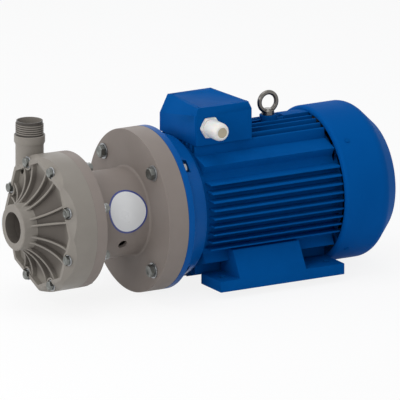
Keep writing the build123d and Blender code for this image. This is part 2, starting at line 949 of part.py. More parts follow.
def bearing(start):
    """Deep groove ball bearing: outer ring, inner ring and balls."""
    pitch = (bearing_outer_radius + bearing_bore_radius) / 2
    middle = start + bearing_width / 2
    groove = torus_x(middle, pitch, ball_radius + seal_fit)
    outer = ring(start, start + bearing_width, bearing_outer_radius - bearing_race, bearing_outer_radius) - groove
    inner = ring(start, start + bearing_width, bearing_bore_radius, bearing_bore_radius + bearing_race) - groove
    balls = [at(middle, pitch, 360 * n / ball_count) * Sphere(ball_radius) for n in range(ball_count)]
    return outer, inner, balls


# Motor


def drive_end_shield():
    """Flanged shield with its spigot, nut pockets and the front bearing's housing."""
    housing = bearing_outer_radius + housing_wall
    bearing_back = front_bearing_x + bearing_width
    spigot_depth = 8
    body = turned(
        (motor_face_x - spigot_height, spigot_radius - shield_wall),
        (motor_face_x - spigot_height, spigot_radius),
        (motor_face_x, spigot_radius),
        (motor_face_x, motor_flange_radius - 0.8),
        (motor_face_x + 0.8, motor_flange_radius),
        (flange_back_x - 0.8, motor_flange_radius),
        (flange_back_x, motor_flange_radius - 0.8),
        (flange_back_x, shield_shoulder_radius + 3),
        (flange_back_x + 3, shield_shoulder_radius + 1.5),
        (flange_back_x + 9, shield_shoulder_radius),
        (frame_front_x, shield_rear_radius),
        (frame_front_x, frame_bore_radius - slide_fit),
        (frame_front_x + spigot_depth, frame_bore_radius - slide_fit),
        (frame_front_x + spigot_depth, frame_bore_radius - shield_wall),
        (flange_back_x + shield_wall, spigot_radius - shield_wall - 6),
        (flange_back_x + shield_wall, housing),
        (bearing_back + 2, housing),
        (bearing_back + 2, bearing_outer_radius - 5),
        (bearing_back, bearing_outer_radius - 5),
        (bearing_back, bearing_outer_radius + shaft_fit),
        (front_bearing_x, bearing_outer_radius + shaft_fit),
        (front_bearing_x, bearing_outer_radius - 6),
        (front_bearing_x - 4, bearing_outer_radius - 6),
        (front_bearing_x - 4, seal_outer_radius + slide_fit),
        (seal_x, seal_outer_radius + slide_fit),
        (seal_x, housing - 8),
        (flange_back_x, housing + 6),
        (flange_back_x, spigot_radius - shield_wall - 8),
    )
    cuts = []
    for angle in flange_bolt_angles:
        place = along(motor_face_x, flange_bolt_circle, angle)
        cuts.append(place * post(flange_bolt_radius + flange_bolt_hole_play, -1, motor_flange_thickness + 1))
        low = motor_flange_thickness
        pocket = place * post(nut_pocket_radius, low, low + nut_pocket_depth)
        opening = Pos(nut_pocket_depth / 2, 0, nut_pocket_radius) * Box(
            nut_pocket_depth, 2 * nut_pocket_radius, 2 * nut_pocket_radius
        )
        cuts.append(pocket)
        cuts.append(at(flange_back_x, flange_bolt_circle, angle) * opening)
    return body - cuts


def shaft_seal():
    return ring(seal_x + 0.1, front_bearing_x - 4.1, bearing_bore_radius + seal_fit, seal_outer_radius)


def frame_section():
    """Cross-section of the finned frame: Y across, Z up, round the shaft."""
    fins = Sketch()
    reach = 2 * fin_tip_radius
    side_half = (side_fin_count - 1) // 2
    for n in range(-side_half, side_half + 1):
        fins += Pos(0, n * side_fin_pitch) * Rectangle(reach, fin_thickness)
    top_half = (top_fin_count - 1) // 2
    for n in range(-top_half, top_half + 1):
        fins += Pos(n * top_fin_pitch, 0) * Rectangle(fin_thickness, reach)
    for side in (-1, 1):
        wall = side * (shoulder_wall_y - fin_thickness / 2)
        fins += Pos(wall, 0) * Rectangle(fin_thickness, reach)
    top_side_fin = side_half * side_fin_pitch
    pad = make_face(
        Polyline(
            (pad_wall_y - 15, top_side_fin),
            (pad_wall_y, top_side_fin),
            (pad_wall_y, pad_wall_top),
            pad_corner,
            pad_slope_end,
            (shoulder_wall_y - 1, pad_slope_end[1]),
            (shoulder_wall_y - 12, pad_slope_end[1] - 12),
            close=True,
        )
    )
    pads = Sketch()
    for turn in (0, 180):
        pads += Rot(0, 0, turn) * pad
        pads += Rot(0, 0, turn) * mirror(pad, Plane.YZ)
    solid = Circle(frame_root_radius) + fins + pads
    return (solid & Circle(fin_tip_radius)) - Circle(frame_bore_radius)


def stator_frame():
    """Finned housing with corner pads, box seat, eye bolt boss and lifting pad."""
    place = Pos(0, 0, shaft_height)
    body = place * extrude(Plane.YZ.offset(fin_front_x) * frame_section(), frame_rear_x - fin_front_x)
    body += ring(frame_front_x, frame_rear_x, frame_bore_radius, frame_root_radius)
    box_middle = (box_front + box_rear) / 2
    box_length = box_rear - box_front
    seat_top = shaft_height + box_seat_height
    clear = Pos(box_middle, 0, seat_top + 30) * Box(box_length + 6, 2 * fin_tip_radius, 60)
    body -= clear
    seat_low = shaft_height + box_seat_height / 2
    seat_length = box_length - 12
    seat = Pos(box_middle, 0, (seat_low + seat_top) / 2)
    seat *= Box(seat_length, 2 * box_seat_half_width, seat_top - seat_low)
    boss = Pos(eye_x, 0, shaft_height) * post(eye_boss_radius, frame_bore_radius, eye_seat_height)
    pad_middle_y = (lift_pad_near_y + lift_pad_far_y) / 2
    pad_width = lift_pad_far_y - lift_pad_near_y
    pad_box = Pos(frame_rear_x - lift_pad_length / 2, pad_middle_y, shaft_height + lift_pad_radius)
    pad_box *= Box(lift_pad_length, pad_width, lift_pad_radius)
    pad = pad_box & disc(frame_rear_x - lift_pad_length, frame_rear_x, lift_pad_radius)
    body += [seat, boss, pad]
    cuts = [
        disc(frame_front_x - 1, frame_rear_x + 1, frame_bore_radius),
        Pos(box_middle, 0, shaft_height) * post(box_wire_hole_radius, 0, box_seat_height + 1),
        Pos(eye_x, 0, shaft_height + eye_seat_height) * post(eye_thread_radius + slide_fit, -eye_thread_length - 1, 1),
    ]
    for side in (-1, 1):
        for step in (-0.5, 0.5):
            spot = Pos(foot_middle_x + step * foot_screw_spacing, side * foot_screw_y, foot_screw_seat)
            cuts.append(spot * post(foot_screw_radius + slide_fit, 0, foot_screw_grip + 1))
    return body - cuts


def stator_core():
    outer = frame_bore_radius - slide_fit
    return ring(core_front_x, core_rear_x, core_bore_radius, outer)


def stator_windings():
    """The two ends of the winding, one on each face of the core."""
    soft = 6
    ends = []
    for face_x, way in ((core_front_x, -1), (core_rear_x, 1)):
        tip = face_x + way * winding_overhang
        ends.append(
            turned(
                (face_x, winding_inner_radius),
                (face_x, winding_outer_radius),
                (tip - way * soft, winding_outer_radius),
                (tip, winding_outer_radius - soft),
                (tip, winding_inner_radius + soft),
                (tip - way * soft, winding_inner_radius),
            )
        )
    return ends


def rotor_core():
    return ring(core_front_x, core_rear_x, rotor_shaft_radius + shaft_fit, core_bore_radius - air_gap)


def rotor_end_rings():
    outer = core_bore_radius - air_gap - 1.5
    inner = outer - 26
    return [
        ring(core_front_x - end_ring_length, core_front_x, inner, outer),
        ring(core_rear_x, core_rear_x + end_ring_length, inner, outer),
    ]


def rear_end_shield():
    """Plate on the frame's rear end with the rear bearing's housing and the cowl's four ears."""
    housing = bearing_outer_radius + housing_wall
    bearing_back = rear_bearing_x + bearing_width
    body = turned(
        (frame_rear_x - 10, frame_bore_radius - slide_fit),
        (frame_rear_x, frame_bore_radius - slide_fit),
        (frame_rear_x, frame_root_radius),
        (rear_plate_x, frame_root_radius),
        (rear_plate_x, rear_shaft_radius + seal_fit * 4),
        (rear_plate_x - 6, rear_shaft_radius + seal_fit * 4),
        (bearing_back + spring_gap, bearing_outer_radius - 12),
        (bearing_back + spring_gap, bearing_outer_radius + shaft_fit),
        (rear_bearing_x - 2, bearing_outer_radius + shaft_fit),
        (rear_bearing_x - 2, housing),
        (frame_rear_x - 2, housing),
        (frame_rear_x - 2, frame_bore_radius - shield_wall),
        (frame_rear_x - 10, frame_bore_radius - shield_wall),
    )
    seat_radius = cowl_radius - cowl_wall - slide_fit
    ear_inner = frame_root_radius - 9
    ear_length = cowl_screw_inset + ear_past_screw - ear_start
    ear = Pos(ear_length / 2, 0, (ear_inner + seat_radius) / 2)
    ear *= Box(ear_length, ear_width, seat_radius - ear_inner + 2)
    ears = [at(frame_rear_x + ear_start, 0, angle) * ear for angle in flange_bolt_angles]
    ears = (ears[0] + ears[1:]) & disc(frame_rear_x, frame_rear_x + 2 * cowl_screw_inset, seat_radius)
    body += ears
    hole = cowl_screw_radius + slide_fit
    cuts = []
    for angle in flange_bolt_angles:
        place = at(frame_rear_x + cowl_screw_inset, 0, angle)
        cuts.append(place * post(hole, seat_radius - 14, seat_radius + 1))
    for angle in (0, 90, 180, 270):
        place = along(rear_plate_x, (frame_bore_radius + frame_root_radius) / 2 - 1, angle)
        cuts.append(place * post(shield_screw_radius + slide_fit, -rear_shield_flange - 1, 1))
    return body - cuts


def shield_screws():
    """Four cap screws through the rear shield into the frame."""
    screw = cap_screw(shield_screw_radius, shield_screw_radius * 1.6, 5, rear_shield_flange - 0.1)
    circle = (frame_bore_radius + frame_root_radius) / 2 - 1
    return [along(rear_plate_x, circle, angle) * Rot(180, 0, 0) * screw for angle in (0, 90, 180, 270)]


def wave_spring():
    start = rear_bearing_x + bearing_width + slide_fit
    return ring(start, start + spring_gap - 2 * slide_fit, bearing_outer_radius - 8, bearing_outer_radius - 0.5)


def cooling_fan():
    """Straight-bladed fan that blows the same either way round."""
    disc_start = fan_x + fan_disc_offset
    body = ring(fan_x, fan_x + fan_hub_length, rear_shaft_radius + shaft_fit, fan_hub_radius)
    body += ring(disc_start, disc_start + fan_disc_thickness, fan_hub_radius - 1, fan_radius)
    tip = disc_start + fan_blade_length
    side = Polyline(
        (disc_start, fan_hub_radius - 2),
        (disc_start, fan_radius - 0.5),
        (tip - 8, fan_radius - 0.5),
        (tip, fan_radius - 22),
        (tip - 16, fan_hub_radius - 2),
        close=True,
    )
    blade = extrude(Plane.XZ * make_face(side), fan_blade_thickness / 2, both=True)
    blades = [Pos(0, 0, shaft_height) * Rot(360 * n / fan_blade_count, 0, 0) * blade for n in range(fan_blade_count)]
    return body + blades


def fan_clip():
    clip = fan_x + fan_hub_length
    open_ring = ring(clip + 0.05, clip + clip_thickness - 0.05, rear_shaft_radius - clip_depth + slide_fit, rear_shaft_radius + 5)
    slot = Pos(clip, 0, shaft_height + rear_shaft_radius) * Box(10, 8, rear_shaft_radius)
    return open_ring - slot


def fan_cowl():
    """Pressed cowl with a rounded shoulder, a 45 degree cone and a slotted rear grille."""
    front = frame_rear_x
    shoulder = front + cowl_straight + cowl_shoulder_length
    rear = cowl_rear_x
    wall = cowl_wall
    slant = wall * tan(radians(22.5))
    lip_radius = fin_tip_radius + cowl_lip_gap
    outline = Polyline(
        (front, lip_radius),
        (front, cowl_radius),
        (shoulder, cowl_radius),
        (rear, cowl_end_radius),
        (rear, 0),
        (rear - wall, 0),
        (rear - wall, cowl_end_radius - slant),
        (shoulder - slant, cowl_radius - wall),
        (front + wall, cowl_radius - wall),
        (front + wall, lip_radius),
        close=True,
    )
    face = make_face(outline)
    bends = [
        (front, cowl_radius, cowl_lip_round),
        (front + wall, cowl_radius - wall, cowl_lip_round - wall),
        (shoulder, cowl_radius, cowl_shoulder_round),
        (shoulder - slant, cowl_radius - wall, cowl_shoulder_round - wall),
    ]
    for x, radius, bend in bends:
        vertex = face.vertices().sort_by_distance((x, radius, 0))[0]
        face = fillet(vertex, bend)
    body = Pos(0, 0, shaft_height) * revolve(face, Axis.X)
    slots = []
    radius = grille_hub_radius
    while radius + grille_slot_width < cowl_end_radius - 6:
        slots.append(ring(rear - wall - 1, rear + 1, radius, radius + grille_slot_width))
        radius += grille_ring_pitch
    spokes = []
    for n in range(grille_spoke_count):
        spoke = Pos(0, 0, cowl_end_radius / 2) * Box(4 * wall, grille_spoke_width, cowl_end_radius)
        spokes.append(at(rear, 0, 360 * n / grille_spoke_count) * spoke)
    body -= (slots[0] + slots[1:]) - spokes
    for angle in flange_bolt_angles:
        place = at(front + cowl_screw_inset, 0, angle)
        body -= place * post(cowl_screw_radius + 0.2, cowl_radius - 10, cowl_radius + 5)
    return body


def cowl_screws():
    head = cowl_screw_radius * 1.6
    shank = post(cowl_screw_radius, -12, 0)
    screw = shank + Pos(0, 0, 1) * Cylinder(head, 2)
    screws = []
    for angle in flange_bolt_angles:
        screws.append(at(frame_rear_x + cowl_screw_inset, cowl_radius, angle) * screw)
    return screws


# Feet


def foot(side):
    """One foot: plate with two bolt holes and a web that seats under the frame's corner pads."""
    drop = -shaft_height
    lower = [
        (pad_wall_y, -foot_web_top),
        (pad_wall_y, -pad_wall_top),
        (pad_corner[0], -pad_corner[1]),
        (pad_slope_end[0], -pad_slope_end[1]),
    ]
    web = Polyline(
        (foot_web_top_y, -foot_web_top),
        *lower,
        (foot_inner_y, -pad_slope_end[1]),
        (foot_inner_y, drop + foot_thickness - 1),
        (foot_outer_y, drop + foot_thickness - 1),
        (foot_outer_y, drop + foot_thickness),
        close=True,
    )
    web = extrude(Plane.YZ.offset(foot_web_front) * make_face(web), foot_web_rear - foot_web_front)
    plate_width = foot_outer_y - foot_inner_y
    plate = Pos(0, (foot_outer_y + foot_inner_y) / 2, drop + foot_thickness / 2)
    plate *= Box(2 * foot_half_length, plate_width, foot_thickness)
    body = Pos(0, 0, shaft_height) * (web + plate)
    cuts = []
    for x in (-foot_pitch_x / 2, foot_pitch_x / 2):
        cuts.append(Pos(x, foot_pitch_y / 2, 0) * post(foot_hole_radius, -1, foot_thickness + 1))
    for step in (-0.5, 0.5):
        spot = Pos(foot_middle_x + step * foot_screw_spacing, foot_screw_y, 0)
        cuts.append(spot * post(foot_screw_radius + 0.5, -1, shaft_height))
        cuts.append(spot * post(foot_screw_radius * 1.6 + 0.5, -1, foot_screw_seat))
    cuts.append(disc(-foot_half_length, foot_half_length, frame_root_radius + slide_fit))
    body -= cuts
    return body if side > 0 else mirror(body, Plane.XZ)


def foot_screws():
    screw = cap_screw(foot_screw_radius, foot_screw_radius * 1.5, foot_screw_radius * 2, foot_screw_grip)
    screws = []
    for side in (-1, 1):
        for step in (-0.5, 0.5):
            spot = Pos(foot_middle_x + step * foot_screw_spacing, side * foot_screw_y, foot_screw_seat)
            screws.append(spot * screw)
    return screws


# Terminal box


def box_section(y, inset):
    """Six-cornered XZ outline of the box at one Y, moved in by inset."""
    share = (y + box_half_width) / (2 * box_half_width)

    def between(near, far):
        return near + (far - near) * share

    seam = shaft_height + box_seam_height
    top = seam + between(box_lid_rise_near, box_lid_rise_far) - inset
    front_top = box_front + between(box_top_inset_front_near, box_top_inset_front_far) + inset
    rear_top = box_rear - between(box_top_inset_rear_near, box_top_inset_rear_far) - inset
    front_bevel = seam + between(box_bevel_front_near, box_bevel_front_far) - inset / 2
    rear_bevel = seam + between(box_bevel_rear_near, box_bevel_rear_far) - inset / 2
    low = shaft_height + box_seat_height + inset
    points = [
        (box_front + inset, y, low),
        (box_front + inset, y, front_bevel),
        (front_top, y, top),
        (rear_top, y, top),
        (box_rear - inset, y, rear_bevel),
        (box_rear - inset, y, low),
    ]
    return make_face(Polyline(*points, close=True))


def box_body(inset):
    ends = [box_section(-box_half_width + inset, inset), box_section(box_half_width - inset, inset)]
    return loft(ends, ruled=True)


def box_shell():
    outer = box_body(0)
    return outer - box_body(box_wall)


def lid_screw_spots():
    """Corner places of the lid's screws, each with the height where its head seats."""
    seam = shaft_height + box_seam_height
    near_y = lid_screw_inset - box_half_width
    far_y = -near_y
    front = box_front + lid_screw_inset
    rear = box_rear - lid_screw_inset
    places = [(front, near_y), (front + lid_screw_far_shift, far_y), (rear, near_y), (rear - 5, far_y)]
    spots = []
    for x, y in places:
        share = (y + box_half_width) / (2 * box_half_width)
        top = seam + box_lid_rise_near + (box_lid_rise_far - box_lid_rise_near) * share
        spots.append((x, y, top - lid_screw_head - 0.3))
    return spots


def box_split():
    """Half-space above the seam of the box."""
    seam = shaft_height + box_seam_height
    span = 3 * box_half_width
    return Pos(box_middle_x, 0, seam + span / 2) * Box(span, span, span)


def screw_posts():
    """Posts in the corners that take the lid's screws, joined to the walls."""
    seam = shaft_height + box_seam_height
    posts = []
    for x, y, seat in lid_screw_spots():
        posts.append(Pos(x, y, 0) * post(lid_screw_radius + 6, seam - lid_post_depth, seat + 20))
    return posts


def terminal_box_base():
    """Lower part of the box, with its screw posts, gland thread and wire hole."""
    seam = shaft_height + box_seam_height
    body = ((box_shell() + screw_posts()) & box_body(0)) - box_split()
    wire_hole = post(box_wire_hole_radius, 0, box_seat_height + 4 * box_wall)
    cuts = [Pos(box_middle_x, 0, shaft_height) * wire_hole]
    cuts.append(gland_place() * post(gland_thread_radius + slide_fit, -gland_thread_length - 1, 1))
    for x, y, seat in lid_screw_spots():
        cuts.append(Pos(x, y, seam) * post(lid_screw_radius + slide_fit, -lid_screw_grip - 1, 1))
    return body - cuts


def terminal_box_lid():
    seam = shaft_height + box_seam_height
    body = ((box_shell() + screw_posts()) & box_body(0)) & box_split()
    cuts = []
    for x, y, seat in lid_screw_spots():
        cuts.append(Pos(x, y, 0) * post(lid_screw_radius + 0.3, seam - 1, seat + 40))
        cuts.append(Pos(x, y, 0) * post(lid_screw_radius * 2, seat, seat + 40))
    return body - cuts


def lid_screws():
    seam = shaft_height + box_seam_height
    screws = []
    for x, y, seat in lid_screw_spots():
        length = seat - seam + lid_screw_grip
        screw = cap_screw(lid_screw_radius, lid_screw_radius * 2 - slide_fit, lid_screw_head, length)
        screws.append(Pos(x, y, seat) * Rot(180, 0, 0) * screw)
    return screws


def terminal_board():
    """Moulded board that carries the six studs."""
    low = shaft_height + box_seat_height + box_wall
    board = Pos(box_middle_x, 0, low + 9) * Box(62, 90, 18)
    hole = [Pos(x, y, 0) * post(3 + slide_fit, low + 4, low + 30) for x, y in stud_spots()]
    wire = Pos(box_middle_x, 0, 0) * post(box_wire_hole_radius - 3, low - 1, low + 10)
    return board - hole - wire


def stud_spots():
    return [(box_middle_x + x, y) for x in (-14, 14) for y in (-30, 0, 30)]


def terminal_studs():
    low = shaft_height + box_seat_height + box_wall
    stud = post(3, low + 4.1, low + 36)
    nut = hex_post(10, low + 18, low + 23)
    return [Pos(x, y, 0) * (stud + nut) for x, y in stud_spots()]


# Cable gland, seated on the near side of the box


def gland_place():
    gland_height = shaft_height + box_seam_height - gland_below_seam
    return Pos(gland_x, -box_half_width, gland_height) * Rot(90, 0, 0)


def gland_body():
    """Threaded stub, hexagon and the barrel that the dome nut grips."""
    hexagon = crowned_hex(gland_across_flats, 0, gland_hex_thickness)
    stub = post(gland_thread_radius, -gland_thread_length, 0)
    barrel = post(gland_dome_radius - 4, gland_hex_thickness, gland_reach - 10)
    bore = post(gland_plug_radius, -gland_thread_length - 1, gland_reach)
    return gland_place() * (hexagon + stub + barrel - bore)


def gland_dome_nut():
    low = gland_hex_thickness + 1
    top = gland_reach
    outline = [
        (gland_dome_radius - 4 + slide_fit, low),
        (gland_dome_radius, low),
        (gland_dome_radius, top - 10),
        (gland_dome_radius - 1.5, top - 5),
        (gland_dome_radius - 4.5, top - 1),
        (gland_dome_radius - 6, top),
        (gland_plug_radius + slide_fit, top),
        (gland_plug_radius + slide_fit, top - 9.9),
        (gland_dome_radius - 4 + slide_fit, top - 9.9),
    ]
    return gland_place() * revolve(Plane.XZ * make_face(Polyline(*outline, close=True)), Axis.Z)


def gland_plug():
    return gland_place() * post(gland_plug_radius - slide_fit, gland_reach - 40, gland_reach - 0.8)


# Lifting eye bolt


def eye_bolt():
    """Forged ring on a collar with a threaded shank."""
    seat = shaft_height + eye_seat_height
    thick = (eye_ring_outer - eye_ring_inner) / 2
    ring_middle = seat + eye_height - eye_ring_outer
    loop = Pos(eye_x, 0, ring_middle) * Rot(90, 0, 0) * Torus(eye_ring_inner + thick, thick)
    wide = 3 * eye_ring_outer
    loop -= Pos(eye_x, 0, seat - wide / 2) * Box(wide, wide, wide)
    outline = [
        (0, -eye_thread_length),
        (eye_thread_radius, -eye_thread_length),
        (eye_thread_radius, 0),
        (eye_collar_radius, 0),
        (eye_collar_radius, eye_collar_height),
        (eye_collar_radius * 0.62, eye_collar_height + 4),
        (0, eye_collar_height + 4),
    ]
    foot_part = Pos(eye_x, 0, seat) * revolve(Plane.XZ * make_face(Polyline(*outline, close=True)), Axis.Z)
    neck_low = seat + eye_collar_height
    neck_high = ring_middle - eye_ring_inner - 1
    neck = Box(2 * thick + 6, 2 * thick - 2, neck_high - neck_low)
    neck = Pos(eye_x, 0, (neck_low + neck_high) / 2) * neck
    return foot_part + loop + neck


if __name__ == "__main__":
    os.makedirs("parts", exist_ok=True)
    save("front_casing", front_casing())
    save("rear_casing", rear_casing())
    save("casing_o_ring", casing_o_ring())
    save("impeller", impeller())
    save("impeller_bushes", *impeller_bushes())
    save("inner_magnet_capsule", inner_magnet_capsule())
    save("pump_shaft", pump_shaft())
    save("shaft_support", shaft_support())
    save("thrust_rings", *thrust_rings())
    bolts, washers, nuts = casing_fasteners()
    save("casing_bolts", *bolts)
    save("casing_washers", *washers)
    save("casing_nuts", *nuts)
    save("adapter_bracket", adapter_bracket())
    save("label_disc", label_disc())
    bolts, washers, nuts = flange_fasteners()
    save("flange_bolts", *bolts)
    save("flange_washers", *washers)
    save("flange_nuts", *nuts)
    save("drive_magnet_hub", drive_magnet_hub())
    save("drive_magnets", drive_magnets())
    save("hub_screw", hub_screw())
    save("hub_washer", hub_washer())
    save("shaft_key", shaft_key())
    save("motor_shaft", motor_shaft())
    for name, start in (("drive_end_bearing", front_bearing_x), ("rear_bearing", rear_bearing_x)):
        outer, inner, balls = bearing(start)
        save(f"{name}_outer", outer)
        save(f"{name}_inner", inner)
        save(f"{name}_balls", *balls)
    save("drive_end_shield", drive_end_shield())
    save("shaft_seal", shaft_seal())
    save("stator_frame", stator_frame())
    save("stator_core", stator_core())
    save("stator_windings", *stator_windings())
    save("rotor_core", rotor_core())
    save("rotor_end_rings", *rotor_end_rings())
    save("rear_end_shield", rear_end_shield())
    save("shield_screws", *shield_screws())
    save("wave_spring", wave_spring())
    save("cooling_fan", cooling_fan())
    save("fan_clip", fan_clip())
    save("fan_cowl", fan_cowl())
    save("cowl_screws", *cowl_screws())
    save("foot_left", foot(-1))
    save("foot_right", foot(1))
    save("foot_screws", *foot_screws())
    save("terminal_box_base", terminal_box_base())
    save("terminal_box_lid", terminal_box_lid())
    save("lid_screws", *lid_screws())
    save("terminal_board", terminal_board())
    save("terminal_studs", *terminal_studs())
    save("gland_body", gland_body())
    save("gland_dome_nut", gland_dome_nut())
    save("gland_plug", gland_plug())
    save("eye_bolt", eye_bolt())
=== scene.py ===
"""Dresses the magnetic drive pump and its motor: finishes, threads, fasteners, soft edges, floor, light and camera."""
import json
import math

import bmesh
import bpy
from mathutils import Matrix, Vector


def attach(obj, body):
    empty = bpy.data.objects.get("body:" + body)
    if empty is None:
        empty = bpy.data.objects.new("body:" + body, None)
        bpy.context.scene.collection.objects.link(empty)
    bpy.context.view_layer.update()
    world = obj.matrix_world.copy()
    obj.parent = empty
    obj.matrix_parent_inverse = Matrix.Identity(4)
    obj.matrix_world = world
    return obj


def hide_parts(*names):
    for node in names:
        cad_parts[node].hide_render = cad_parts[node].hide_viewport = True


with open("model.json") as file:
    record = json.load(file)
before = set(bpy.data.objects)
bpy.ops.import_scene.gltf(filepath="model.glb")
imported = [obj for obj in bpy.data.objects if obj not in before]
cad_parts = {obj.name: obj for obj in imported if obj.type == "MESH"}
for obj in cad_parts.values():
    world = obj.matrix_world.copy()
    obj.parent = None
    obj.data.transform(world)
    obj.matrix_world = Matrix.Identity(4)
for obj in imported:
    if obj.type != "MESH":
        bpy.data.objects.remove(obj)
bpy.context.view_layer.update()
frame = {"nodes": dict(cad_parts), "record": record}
MM = 0.001
FIXED = "pump_and_motor_body"

# Stations along the shaft and radii, in millimetres, as the solids have them
SHAFT_HEIGHT = 160.0
CASING_JOINT_X = -440.2
PLATE_BACK_X = -415.2
ADAPTER_FRONT_X = -282.2
MOTOR_FACE_X = -235.0
FLANGE_BACK_X = -220.0
CASING_BOLT_SEAT_X = -496.7
CASING_BOLT_CIRCLE = 133.0
FLANGE_BOLT_CIRCLE = 150.0
COWL_SCREW_X = 181.6
COWL_RADIUS = 167.9


def colour(code):
    """sRGB hex code to the linear colour that a shader takes."""
    channels = [int(code[at:at + 2], 16) / 255 for at in (1, 3, 5)]
    linear = [c / 12.92 if c <= 0.04045 else ((c + 0.055) / 1.055) ** 2.4 for c in channels]
    return (*linear, 1.0)


def add(tree, kind, inputs=None, **settings):
    """One node with its settings; inputs maps a socket's name or number to a value or to another node's output."""
    node = tree.nodes.new(kind)
    for name, value in settings.items():
        setattr(node, name, value)
    for key, value in (inputs or {}).items():
        if isinstance(value, bpy.types.NodeSocket):
            tree.links.new(value, node.inputs[key])
        else:
            node.inputs[key].default_value = value
    return node


# Camera: the photograph looks along parallel lines, so the lens is very long

AZIMUTH = math.radians(-29.78)
ELEVATION = math.radians(15.13)
LENS = 1703.7
CAMERA_DISTANCE = 40.0

right = Vector((math.cos(AZIMUTH), math.sin(AZIMUTH), 0))
back = Vector((math.sin(AZIMUTH) * math.cos(ELEVATION), -math.cos(AZIMUTH) * math.cos(ELEVATION), math.sin(ELEVATION)))
up = back.cross(right)
aim = Vector((ADAPTER_FRONT_X, 0, SHAFT_HEIGHT)) * MM + right * 0.1505 + up * 0.022
camera_data = bpy.data.cameras.new("camera")
camera_data.lens = LENS
camera_data.sensor_width = 36.0
camera_data.clip_start = 1.0
camera_data.clip_end = 100.0
camera = bpy.data.objects.new("camera", camera_data)
camera.matrix_world = Matrix.Translation(aim + back * CAMERA_DISTANCE) @ Matrix((right, up, back)).transposed().to_4x4()
bpy.context.scene.collection.objects.link(camera)
bpy.context.scene.camera = camera
bpy.context.scene.view_settings.view_transform = "Standard"


# Finishes


def surface(name, base, shade, mottle, rough, grain, relief, spread=0.06, metallic=0.0, **shader):
    """A finish whose colour drifts from base to shade over patches of mottle millimetres.

    The skin has grains of grain millimetres and relief millimetres deep; its gloss varies by spread.
    shader holds what is the same all over: values for the shader's own sockets.
    """
    made = bpy.data.materials.new(name)
    made.use_nodes = True
    tree = made.node_tree
    tree.nodes.clear()
    place = add(tree, "ShaderNodeTexCoord").outputs["Object"]
    drift = add(tree, "ShaderNodeTexNoise", {"Vector": place, "Scale": 1 / (mottle * MM), "Detail": 3.0})
    blend = add(tree, "ShaderNodeMix", {"Factor": drift.outputs["Fac"], 6: colour(base), 7: colour(shade)}, data_type="RGBA")
    skin = add(tree, "ShaderNodeTexNoise", {"Vector": place, "Scale": 1 / (grain * MM), "Detail": 2.0})
    gloss = add(tree, "ShaderNodeMapRange", {"Value": drift.outputs["Fac"], 1: 0.3, 2: 0.7, 3: rough - spread, 4: rough + spread})
    bump = add(tree, "ShaderNodeBump", {"Height": skin.outputs["Fac"], "Distance": relief * MM, "Strength": 1.0})
    main = add(tree, "ShaderNodeBsdfPrincipled", {
        "Base Color": blend.outputs[2], "Roughness": gloss.outputs["Result"], "Normal": bump.outputs["Normal"],
        "Metallic": metallic,
    })
    for socket, value in shader.items():
        main.inputs[socket.replace("_", " ")].default_value = value
    add(tree, "ShaderNodeOutputMaterial", {"Surface": main.outputs["BSDF"]})
    return made


def part_of(material, kind):
    """The first node of one kind in a material."""
    return next(node for node in material.node_tree.nodes if node.bl_idname == kind)


# Glass-filled polypropylene, injection moulded: warm grey, soft sheen, faint flow marks
casing_plastic = surface("moulded_polypropylene", "#8b867e", "#817b74", 45.0, 0.42, 2.2, 0.06, IOR=1.49, Specular_IOR_Level=0.2)
# Painted shade at the root of the discharge thread: a dark colour stands in for the shade in the thread's grooves
thread_root_painted_shade = surface("painted_thread_shade", "#4c4742", "#3f3b37", 12.0, 0.4, 1.5, 0.03, IOR=1.49, Specular_IOR_Level=0.3)
# Painted shade between the ribs and in the suction bore: a darker colour stands in for the shade that falls in the
# recess, and the skin is duller there
recess_painted_shade = surface("polypropylene_painted_shade", "#645e58", "#5a5550", 45.0, 0.6, 2.2, 0.06, IOR=1.49, Specular_IOR_Level=0.1)
# The bracket's thicker moulding cools slower, so it is a little browner and duller
adapter_plastic = surface("moulded_polypropylene_bracket", "#8a817b", "#807771", 70.0, 0.52, 2.4, 0.05, IOR=1.49, Specular_IOR_Level=0.15)
# Alkyd enamel sprayed on cast aluminium: even blue, satin, with the sand's orange peel under it
blue_paint = surface("enamel_on_casting", "#03539b", "#024a8c", 60.0, 0.55, 3.2, 0.08, IOR=1.5, Specular_IOR_Level=0.008)
# The same enamel on the shield's machined flange lies flat and shines
shield_paint = surface("enamel_on_machined_flange", "#04549c", "#044b90", 60.0, 0.32, 3.2, 0.04, IOR=1.5, Specular_IOR_Level=0.05)
# The same enamel on smooth pressed sheet, so it is glossier and flatter
cowl_paint = surface("enamel_on_pressed_sheet", "#03559f", "#024d94", 120.0, 0.5, 4.0, 0.03, IOR=1.5, Specular_IOR_Level=0.01)
# Zinc plating gone dull: grey with a green cast
zinc_steel = surface("dulled_zinc_plating", "#7d7f7c", "#666865", 6.0, 0.36, 1.5, 0.03, metallic=0.85)
# The pressed washers keep their bright plating
washer_steel = surface("bright_zinc_plating", "#a2a4a6", "#8c8e91", 8.0, 0.3, 1.5, 0.02, metallic=0.85)
# Drop-forged and oiled steel: dark, slightly uneven
forged_steel = surface("drop_forged_steel", "#75726f", "#5a5855", 9.0, 0.28, 2.0, 0.06, metallic=0.95)
